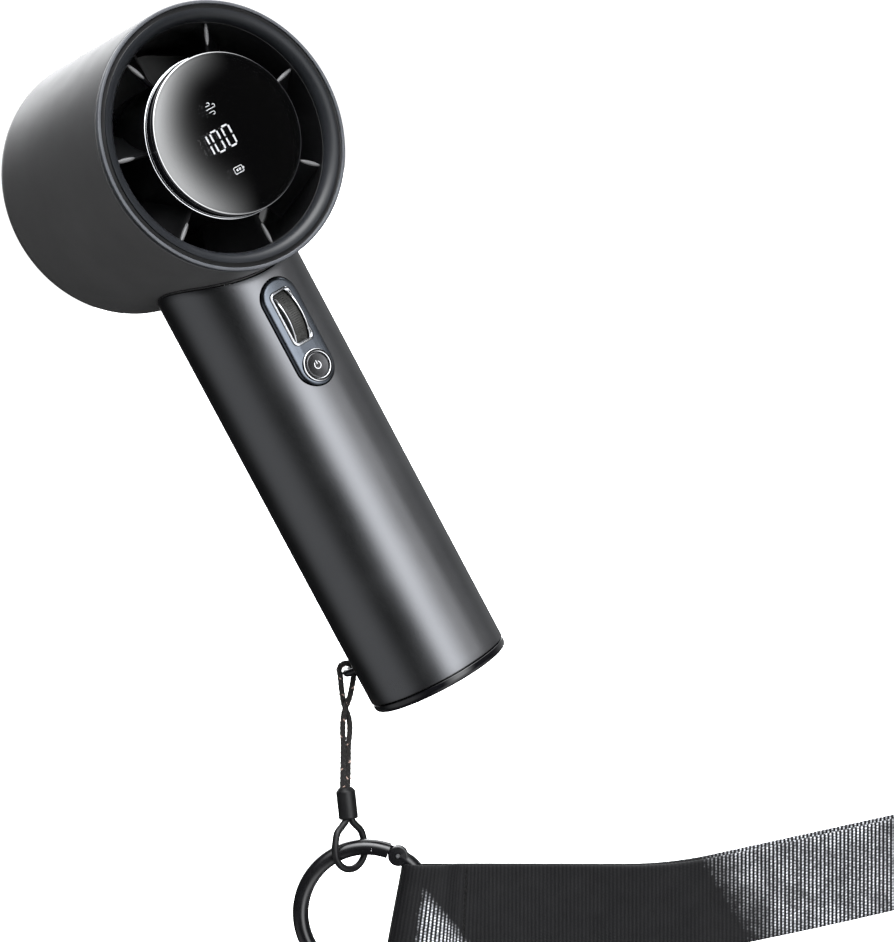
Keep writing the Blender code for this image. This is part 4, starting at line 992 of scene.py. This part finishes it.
def power_key():
    """The power button: a bright ring, a dished cap and a printed power symbol."""
    place = FRONT @ Matrix.Translation((0, BUTTON_Z, 0))
    back, front = span("button_ring", FORWARD)
    inner = BUTTON_R + 0.15
    ring = [(inner, back), (BUTTON_RING_R, back), (BUTTON_RING_R, front), (inner, front)]
    data = revolve(rounded(ring, [0.1, 0.1, 0.26, 0.2]), 128)
    piece("key_ring", data, place, [CHROME], "button_ring")

    top, dish_r = BUTTON_FRONT, BUTTON_R - 0.45
    cap = [(dish_r * index / 10, top - 0.16 + 0.14 * (index / 10) ** 2) for index in range(11)]
    cap += arc((BUTTON_R - 0.3, top - 0.3), 0.3, 90, 0, 6) + [(BUTTON_R, BUTTON_BACK), (0, BUTTON_BACK)]
    piece("key_cap", revolve(cap, 128), place, [KEY], "power_button", "button_unit")

    low, high = top - 0.18, top - 0.1
    section = ((0.87, low), (1.13, low), (1.13, high), (0.87, high))
    open_circle = skin([[(x * k, y * k, z) for k, z in section] for x, y in arc((0, 0), 0.95, 122, 418, 40)])
    bar = prism(shifted(rounded_box(0.13, 0.55, 0.12, 4), 0, 0.82), low, high)
    piece("power_symbol", merged([open_circle, bar]), place, [MARK], body="button_unit")


def base():
    """The black end cap with its rounded edge, and the pad the fan stands on."""
    top = span("base_cap", Z)[1]
    rim_r = half("chassis_front", X)
    plug_r = rim_r - 1.2
    cap_top = HANDLE_BOTTOM - GAP
    recess, floor = PAD_R + GAP, PAD_TOP + GAP
    profile = [(0, cap_top + 0.4), (plug_r, cap_top + 0.4), (plug_r, top), (rim_r, top), (rim_r, cap_top)]
    profile += arc((CAP_R - 0.2, cap_top - 0.2), 0.2, 90, 0, 4) + arc((CAP_R - 1.3, 1.6), 1.3, 0, -90, 12)
    profile += [(recess + 0.2, 0.3), (recess, 0.5), (recess, floor), (0, floor)]
    steps = []
    for name in ("base_screw_left", "base_screw_right"):
        place = Matrix.Translation((middle(name, X), middle(name, Y), 0))
        for r, low, high, sides in ((1.2, -1, 8, 24), (2.1, 0.5, 2.3, 32)):
            hole = revolve([(0, low), (r, low), (r, high), (0, high)], sides)
            steps.append((CUT, moved(hole, place)))
    piece("end_cap", carved(revolve(profile, 200), *steps), UPRIGHT, [PIANO], "base_cap")
    pad = rounded([(0, PAD_TOP), (PAD_R, PAD_TOP), (PAD_R, 0.0), (0, 0.0)], [0, 0.1, 0.25, 0])
    grooves = []
    for r in (12.0, 8.0, 4.0):
        grooves += [(r + 0.35, 0.0), (r + 0.2, 0.15), (r - 0.2, 0.15), (r - 0.35, 0.0)]
    data = revolve(pad[:-1] + grooves + pad[-1:], 160)
    piece("foot_pad", data, UPRIGHT, [RUBBER], "base_pad")


# ---------------------------------------------------------------- lanyard


def anchor_place():
    """The anchor's frame: local Y points out of the handle's side, at the anchor's height."""
    turn = Matrix.Rotation(math.atan2(-ANCHOR_OUT.x, ANCHOR_OUT.y), 4, "Z")
    return Matrix.Translation((0, 0, HANG_ORIGIN.z / MM)) @ turn


def anchor_staple():
    """The wire staple in the handle's side: two legs and a bow that the cord goes over."""
    w, leg_end = ANCHOR_HALF_WIDTH, 16.2
    shoulder = ANCHOR_OUT.length / MM - w
    legs = [(w, leg_end + step * (shoulder - leg_end) / 6) for step in range(6)]
    path = legs + arc((0, shoulder), w, 0, 180, 33) + [(-x, y) for x, y in reversed(legs)]
    data = tube([(x, y, 0) for x, y in path], ANCHOR_WIRE_R, 24)
    piece("anchor_staple", data, anchor_place(), [ENAMEL], "lanyard_anchor")


def crimp_mouth(end):
    """The middle of the crimp's upper (1) or lower (-1) end, in the hanging frame."""
    reach = Vector((-math.sin(CRIMP_TILT), math.cos(CRIMP_TILT), 0)) * CRIMP_LENGTH / 2
    return CRIMP_CENTRE + reach * end


def cord_path():
    """The doubled cord: up one strand, over the anchor's wire and down the other."""
    over = ANCHOR_WIRE_R + CORD_R + 2 * GAP
    together = CORD_R - 0.07
    first, upward = ((TO_HANG @ Vector(axis)).normalized() for axis in (ANCHOR_OUT, Z))
    turn = [first * x + upward * y for x, y in arc((0, 0), over, 0, 180, 9)]
    mouth = crimp_mouth(1)
    strand = []
    for t in (index / 8 for index in range(1, 9)):
        spread = over + (together - over) * min(1.0, 1.6 * t)
        side = first.lerp(Vector(X), min(1.0, 1.4 * t)).normalized()
        strand.append((mouth * t, side * spread))
    inside = mouth + (crimp_mouth(-1) - mouth).normalized() * 2.3
    strand.append((inside, Vector((together, 0, 0))))
    outer = [centre + offset for centre, offset in reversed(strand)]
    inner = [centre - offset for centre, offset in strand]
    return spline(outer + turn + inner, 0.22)


def braided_cord():
    """Eight flat yarns plaited round a core, with short pale flecks on three of them."""
    path = cord_path()
    frames = path_frames(path)
    yarns, pitch, centre_r, swing = 8, 5.4, 0.64, 0.07
    fleck_pitch, fleck_length = 4.5, 0.8
    oval = circle(0.28, 8, 0.13)
    meshes = [tube(path, 0.62, 12)]
    flecks = []
    for index in range(yarns):
        way = 1 if index % 2 else -1
        start = (index // 2) * FULL_TURN * 2 / yarns
        rings, fleck = [], []
        length = 0.0
        for step, (point, side, up) in enumerate(frames):
            if step:
                length += (point - frames[step - 1][0]).length
            angle = way * FULL_TURN * length / pitch + start
            out = side * math.cos(angle) + up * math.sin(angle)
            round_way = up * math.cos(angle) - side * math.sin(angle)
            centre = point + out * (centre_r + way * swing * math.cos(4 * angle))
            rings.append([centre + round_way * x + out * y for x, y in oval])
            if index in (0, 3, 6) and length % fleck_pitch < fleck_length:
                fleck.append([centre + round_way * x * 0.8 + out * (y * 1.1 + 0.05) for x, y in oval])
            elif len(fleck) > 1:
                flecks.append(skin(fleck))
                fleck = []
        meshes.append(skin(rings))
    dark_faces = sum(len(data.polygons) for data in meshes)
    data = merged(meshes + flecks)
    obj = piece("braided_cord", data, HANG, [YARN, FLECK], "lanyard_cord", "cord_unit")
    for index, face in enumerate(obj.data.polygons):
        face.material_index = int(index >= dark_faces)


def crimp():
    """The rubber sleeve that holds the cord and the loop, with chamfered ends."""
    reach, top_r, bottom_r = CRIMP_LENGTH / 2, 1.75, 2.25
    points = [(top_r, reach), (CRIMP_R - 0.75, reach), (CRIMP_R, reach - 1.0), (CRIMP_R, -reach + 0.35)]
    points += [(CRIMP_R - 0.3, -reach), (bottom_r, -reach), (bottom_r, 0.3), (top_r, 0.6)]
    data = revolve(rounded(points, [0.15, 0.2, 0.3, 0.2, 0.2, 0.05, 0.1, 0.1]), 72)
    place = HANG @ Matrix.Translation(CRIMP_CENTRE) @ Matrix.Rotation(CRIMP_TILT, 4, "Z")
    place = place @ Matrix.Rotation(-math.pi / 2, 4, "X")
    piece("cord_sleeve", data, place, [SLEEVE], "cord_crimp", "cord_unit")


def on_ring(angle):
    """A place on the ring's middle line, in the ring's frame. Angles run clockwise from its top."""
    return Vector((RING_R * math.sin(angle), RING_R * math.cos(angle), 0))


def rubber_loop():
    """The loop from the crimp round the ring's wire, turned so that one side passes in front of it."""
    mouth = crimp_mouth(-1)
    reach = RING_CENTRE + on_ring(LOOP_ON_RING) - mouth
    near = LOOP_R + 0.1
    bend_y = reach.y - 0.15
    side = [(near, 3.2), (near, -0.2), (near + 1.1, -1.6), (LOOP_BEND_R - 1.0, -3.6)]
    side.append((LOOP_BEND_R - 0.1, bend_y + 1.6))
    bend = arc((0, bend_y), LOOP_BEND_R + 0.06, 0, -180, 13)
    points = []
    for x, y in side + bend + [(-x, y) for x, y in reversed(side)]:
        drift = reach.x * min(1.0, y / bend_y) if y < 0 else -y * math.tan(CRIMP_TILT)
        points.append(mouth + Vector((drift + x * math.cos(LOOP_TURN), y, -x * math.sin(LOOP_TURN))))
    data = tube(spline(points, 0.3), LOOP_R, 24)
    piece("rubber_loop", data, HANG, [SLEEVE], "ring_loop", "cord_unit")


def ring_wire(start, end, count):
    """A stretch of the ring's wire between two angles."""
    return tube([on_ring(start + (end - start) * i / count) for i in range(count + 1)], RING_WIRE_R, 32)


def ring_and_gate():
    """The black ring: its body ends in a fork, and the gate turns in the fork on a pin.

    The seam is an arc about the gate's pivot, so that the opening gate clears the ring.
    """
    pivot_angle = math.atan2(GATE_PIVOT.x, GATE_PIVOT.y)
    seam_r = 2 * RING_R * math.sin((pivot_angle - GATE_SEAM) / 2)
    overlap, clearance = math.radians(4), 0.015
    place = Matrix.Translation(GATE_PIVOT)
    turn = place @ Matrix.Rotation(-pivot_angle, 4, "Z")

    def seam_slice(radius):
        middle_angle = 180 - math.degrees(pivot_angle)
        outline = [(0, 0)] + arc((0, 0), radius, middle_angle - 75, middle_angle + 75, 61)
        return prism(shifted(outline, GATE_PIVOT.x, GATE_PIVOT.y), -4, 4)

    def disc(radius, height, edge=0.25):
        points = [(0, height), (radius, height), (radius, -height), (0, -height)]
        return moved(revolve(rounded(points, [0, edge, edge, 0]), 48), place)

    slot = prism(rounded_box(3.2, 3.4, 0.4), -TONGUE / 2 - GAP, TONGUE / 2 + GAP)
    data = carved(
        ring_wire(pivot_angle, GATE_SEAM + overlap + FULL_TURN, 180),
        (CUT, seam_slice(seam_r + clearance)),
        (JOIN, disc(EAR_R, RING_WIRE_R - 0.05, 0.4)),
        (CUT, moved(slot, turn)),
        (CUT, disc(0.62, 4, 0)),
    )
    piece("ring_body", data, RING, [ENAMEL], "lanyard_ring", "ring_unit")
    head = RING_WIRE_R + 0.02
    pin = [(0, head), (0.5, head), (0.58, head - 0.1), (0.58, 0.2 - head), (0.5, 0.1 - head), (0, 0.1 - head)]
    piece("gate_rivet", moved(revolve(pin, 32), place), RING, [STEEL], "gate_pin", "ring_unit")

    tongue = prism(shifted(rounded_box(2.7, 1.3, 0.3), -2.4, 0.35), -TONGUE / 2, TONGUE / 2)
    data = carved(
        ring_wire(GATE_SEAM - overlap, pivot_angle - math.radians(9.05), 30),
        (COMMON, seam_slice(seam_r - clearance)),
        (JOIN, moved(tongue, turn)),
        (JOIN, disc(1.9, TONGUE / 2, 0.1)),
        (CUT, disc(0.66, 4, 0)),
    )
    piece("gate_leaf", data, RING, [ENAMEL], "ring_gate", "gate_unit")


def strap_rise(x):
    """How far the strap climbs at this distance from the ring: level first, then a steady slope."""
    start, slope, bend = 70.0, 0.22, 0.0048
    run = max(0.0, x - start)
    turn = slope / (2 * bend)
    return bend * min(run, turn) ** 2 + slope * max(0.0, run - turn)


def strap_centre_line():
    """The webbing's middle, seen along its width: round the ring, through the stitches, round the wrist."""
    touching = STRAP_THICKNESS / 2 + 0.02
    start, widest, steps = 31.0, 122.0, 12
    upper = arc((POCKET_FOLD_X, 0), POCKET_R, 180, 90, 7)
    upper += [(16.6, POCKET_R - 0.05), (20.4, POCKET_R - 0.9)]
    upper += [(STITCH_X - 1.5, touching + 0.55), (STITCH_X + 1.2, touching)]
    for t in (index / steps for index in range(steps + 1)):
        swell = WRIST_LOOP_HALF * (1 - math.cos(math.pi * t)) / 2
        upper.append((start + (widest - start) * t, touching + swell))
    upper += arc((widest, 0), WRIST_LOOP_END - widest, 80, 0, 8, WRIST_LOOP_HALF + touching)
    lower = [(x, -y) for x, y in reversed(upper[1:-1])]
    return spline([(x, y, 0) for x, y in upper + lower], RIB_PITCH / 4, closed=True)


def strap_place(x, y, across):
    """A point of the strap in the ring's frame, from its place along, through and across the webbing."""
    lean = 1.0 - 0.12 * max(0.0, y)
    slant = 0.19 * across * max(0.0, 1 - max(0.0, x - 7) / 26)
    return (x + slant, across + strap_rise(x) + lean, -y)


def webbing():
    """One ribbed webbing, folded round the ring, sewn to itself and closed as the wrist loop."""
    path = strap_centre_line()
    count = len(path)
    edge, rib_height, selvedge_height = 0.55, 0.035, 0.05
    columns = [-1, -0.985, -0.96, -0.9] + [-0.8 + 0.2 * i for i in range(9)] + [0.9, 0.96, 0.985, 1]
    rings, weave = [], []
    for index, point in enumerate(path):
        along = (path[(index + 1) % count] - path[index - 1]).normalized()
        normal = Vector((-along.y, along.x, 0))
        rib = rib_height * math.sin(index * FULL_TURN / 4)
        top, bottom = [], []
        for column in columns:
            w = column * STRAP_WIDTH / 2
            near = min(1.0, (STRAP_WIDTH / 2 - abs(w)) / edge)
            thick = (STRAP_THICKNESS / 2 - 0.06) * math.sqrt(max(0.0, 1 - (1 - near) ** 2))
            selvedge = selvedge_height if 0.85 < abs(column) < 0.99 else 0.0
            offset = max(0.02, thick + rib * near + selvedge)
            for points, sign in ((top, 1), (bottom, -1)):
                place = point + normal * offset * sign
                points.append(strap_place(place.x, place.y, w))
        rings.append(top + bottom[::-1])
        along, from_fold = index * RIB_PITCH / 4, min(index, count - index) * RIB_PITCH / 4
        for column in columns + columns[::-1]:
            weave += (along, column * STRAP_WIDTH / 2, from_fold)
    data = skin(rings, wrap=True)
    data.attributes.new("weave", "FLOAT_VECTOR", "POINT").data.foreach_set("vector", weave)
    sharp = math.radians(50)
    piece("webbing_strap", data, RING, [WEBBING], "wrist_strap", "strap_unit", sharp)


def stitches():
    """A row of sewing thread across the strap on both sides, next to the ring."""
    pitch, length, thread_r = 1.9, 1.75, 0.24
    surface = STRAP_THICKNESS + 0.05
    count = int((STRAP_WIDTH - 1) / pitch)
    meshes = []
    for index in range(count):
        start = (index - (count - 1) / 2) * pitch - length / 2
        for side in (-1, 1):
            path = []
            for t in (step / 8 for step in range(9)):
                lift = surface + 0.16 * math.sin(math.pi * t) - 0.12
                path.append(strap_place(STITCH_X + 0.7, side * lift, start + t * length))
            meshes.append(tube(path, thread_r, 8, end_round=0.2))
    piece("strap_stitches", merged(meshes), RING, [THREAD], body="strap_unit")


# ---------------------------------------------------------------- studio and camera


def direction(azimuth, elevation):
    """Azimuth 0 points along -Y and grows towards +X. Both are in degrees."""
    a, e = math.radians(azimuth), math.radians(elevation)
    return Vector((math.sin(a) * math.cos(e), -math.cos(a) * math.cos(e), math.sin(e)))


def soft_box(nodes, ray, azimuth, elevation, half_width, half_height, inner, strength):
    """A soft oval light at infinity: full inside the inner share of its size, fading out to its edge."""
    centre = direction(azimuth, elevation)
    side = centre.cross(Vector(Z)).normalized()

    def dot(axis):
        return nodes.signal("VectorMath", {0: ray, 1: axis}, "Value", operation="DOT_PRODUCT")

    across = dot(side) / math.sin(math.radians(half_width))
    upward = dot(side.cross(centre)) / math.sin(math.radians(half_height))
    distance = (across * across + upward * upward).maths("SQRT")
    fade = distance.level(inner, 1.0, strength, 0.0, interpolation_type="SMOOTHSTEP")
    return fade * dot(centre).maths("GREATER_THAN")


# Each soft box: azimuth, elevation, half width, half height, inner share, strength.
SOFT_BOXES = (
    (-1, -5, 32, 80, 0.1, 3.5),
    (25, 60, 55, 42, 0.3, 5.0),
    (151, 22, 31, 30, 0.5, 4.0),
    (-104, -8, 50, 34, 0.35, 0.38),
    (112, -4, 50, 40, 0.2, 0.28),
    (96, 38, 42, 24, 0.3, 2.6),
    (25, -66, 60, 36, 0.3, 0.9),
    (8, 38, 40, 40, 0.1, 4.6),
)
AMBIENT = 0.014
PAPER = 1.15


def studio_world():
    """White to the camera. Everything else sees a dim room with a few large soft boxes."""
    world = bpy.data.worlds.new("studio")
    bpy.context.scene.world = world
    world.use_nodes = True
    nodes = Nodes(world.node_tree)
    ray = nodes.signal("TexCoord", output="Generated")
    total = AMBIENT
    for box in SOFT_BOXES:
        total = soft_box(nodes, ray, *box) + total
    room = nodes.tree.nodes["Background"]
    nodes.put(total, room.inputs["Strength"])
    nodes.put((0.97, 0.985, 1, 1), room.inputs["Color"])
    paper = nodes.signal("Background", {"Color": (1, 1, 1, 1), "Strength": PAPER})
    seen = nodes.signal("LightPath", output="Is Camera Ray")
    mixed = nodes.signal("MixShader", {"Fac": seen, 1: Signal(nodes, room.outputs[0]), 2: paper})
    nodes.put(mixed, nodes.tree.nodes["World Output"].inputs["Surface"])


def lamp(name, azimuth, elevation, strength, angle=70, lit=(), unlit=()):
    """A distant round light: on the lit pieces only, or else on all but the unlit ones. Only a light with lit
    pieces shows in reflections.
    """
    data = bpy.data.lights.new(name, "SUN")
    data.energy, data.angle = strength, math.radians(angle)
    obj = placed(name, data)
    obj.rotation_euler = direction(azimuth, elevation).to_track_quat("Z", "Y").to_euler()
    obj.visible_glossy = bool(lit)
    if lit or unlit:
        group = bpy.data.collections.new(f"{name}_pieces")
        for entry in lit or unlit:
            group.objects.link(entry)
        obj.light_linking.receiver_collection = group
        for entry in group.collection_objects:
            entry.light_linking.link_state = "INCLUDE" if lit else "EXCLUDE"


def pale_floor():
    """A wide pale floor below the hanging strap."""
    bm = bmesh.new()
    bmesh.ops.create_grid(bm, x_segments=8, y_segments=8, size=6.0)
    floor = placed("floor", to_mesh(bm))
    floor.location.z = cad_box[0].z - 0.014
    look = Look("pale_floor", Roughness=0.9, Specular_IOR_Level=0.1)
    look.drive(Base_Color=look.mix(look.noise(300, 2), (0.9, 0.9, 0.905), (0.93, 0.93, 0.93)))
    look.drive(Emission_Color=(1, 1, 1, 1), Emission_Strength=1.0)
    floor.data.materials.append(look.material)
    floor.visible_glossy = floor.visible_diffuse = floor.visible_shadow = False


def camera():
    """The photograph's view: from the front left, a little above, and rolled."""
    azimuth, pitch, roll = math.radians(30.96), math.radians(-7.05), math.radians(27.89)
    aim, distance = Vector((31.5, 0.0, 46.4)), 980.7
    place = Matrix.Translation(aim * MM)
    for angle, axis in ((-azimuth, "Z"), (math.pi / 2 + pitch, "X"), (-roll, "Z")):
        place = place @ Matrix.Rotation(angle, 4, axis)
    data = bpy.data.cameras.new("camera")
    data.lens, data.sensor_width, data.clip_start = 139.8, 36, 0.05
    obj = placed("camera", data)
    obj.matrix_world = place @ Matrix.Translation((0, 0, distance * MM))
    bpy.context.scene.camera = obj


def build():
    dress_kept_nodes()
    head_shell()
    rim = front_rim()
    guide_vanes()
    intake_grille()
    impeller()
    display_puck()
    display_lens()
    display_signs()
    handle_parts = [handle_shell(), panel_plate()]
    window_frame()
    wheel()
    power_key()
    base()
    anchor_staple()
    braided_cord()
    crimp()
    rubber_loop()
    ring_and_gate()
    webbing()
    stitches()
    studio_world()
    lamp("fill_top", 10, 60, 1.6)
    lamp("fill_left", -70, 20, 0.7, unlit=[rim])
    lamp("fill_under", -60, -45, 1.4, unlit=[rim])
    lamp("fill_right", 80, 15, 0.6)
    lamp("handle_right", 34, -7, 0.33, 36, lit=handle_parts)
    lamp("handle_edge", 64, -7, 0.12, 40, lit=handle_parts)
    lamp("lip_top", 20, 55, 3.0, 40, lit=[rim])
    pale_floor()
    camera()
    bpy.context.scene.view_settings.view_transform = "Standard"


build()
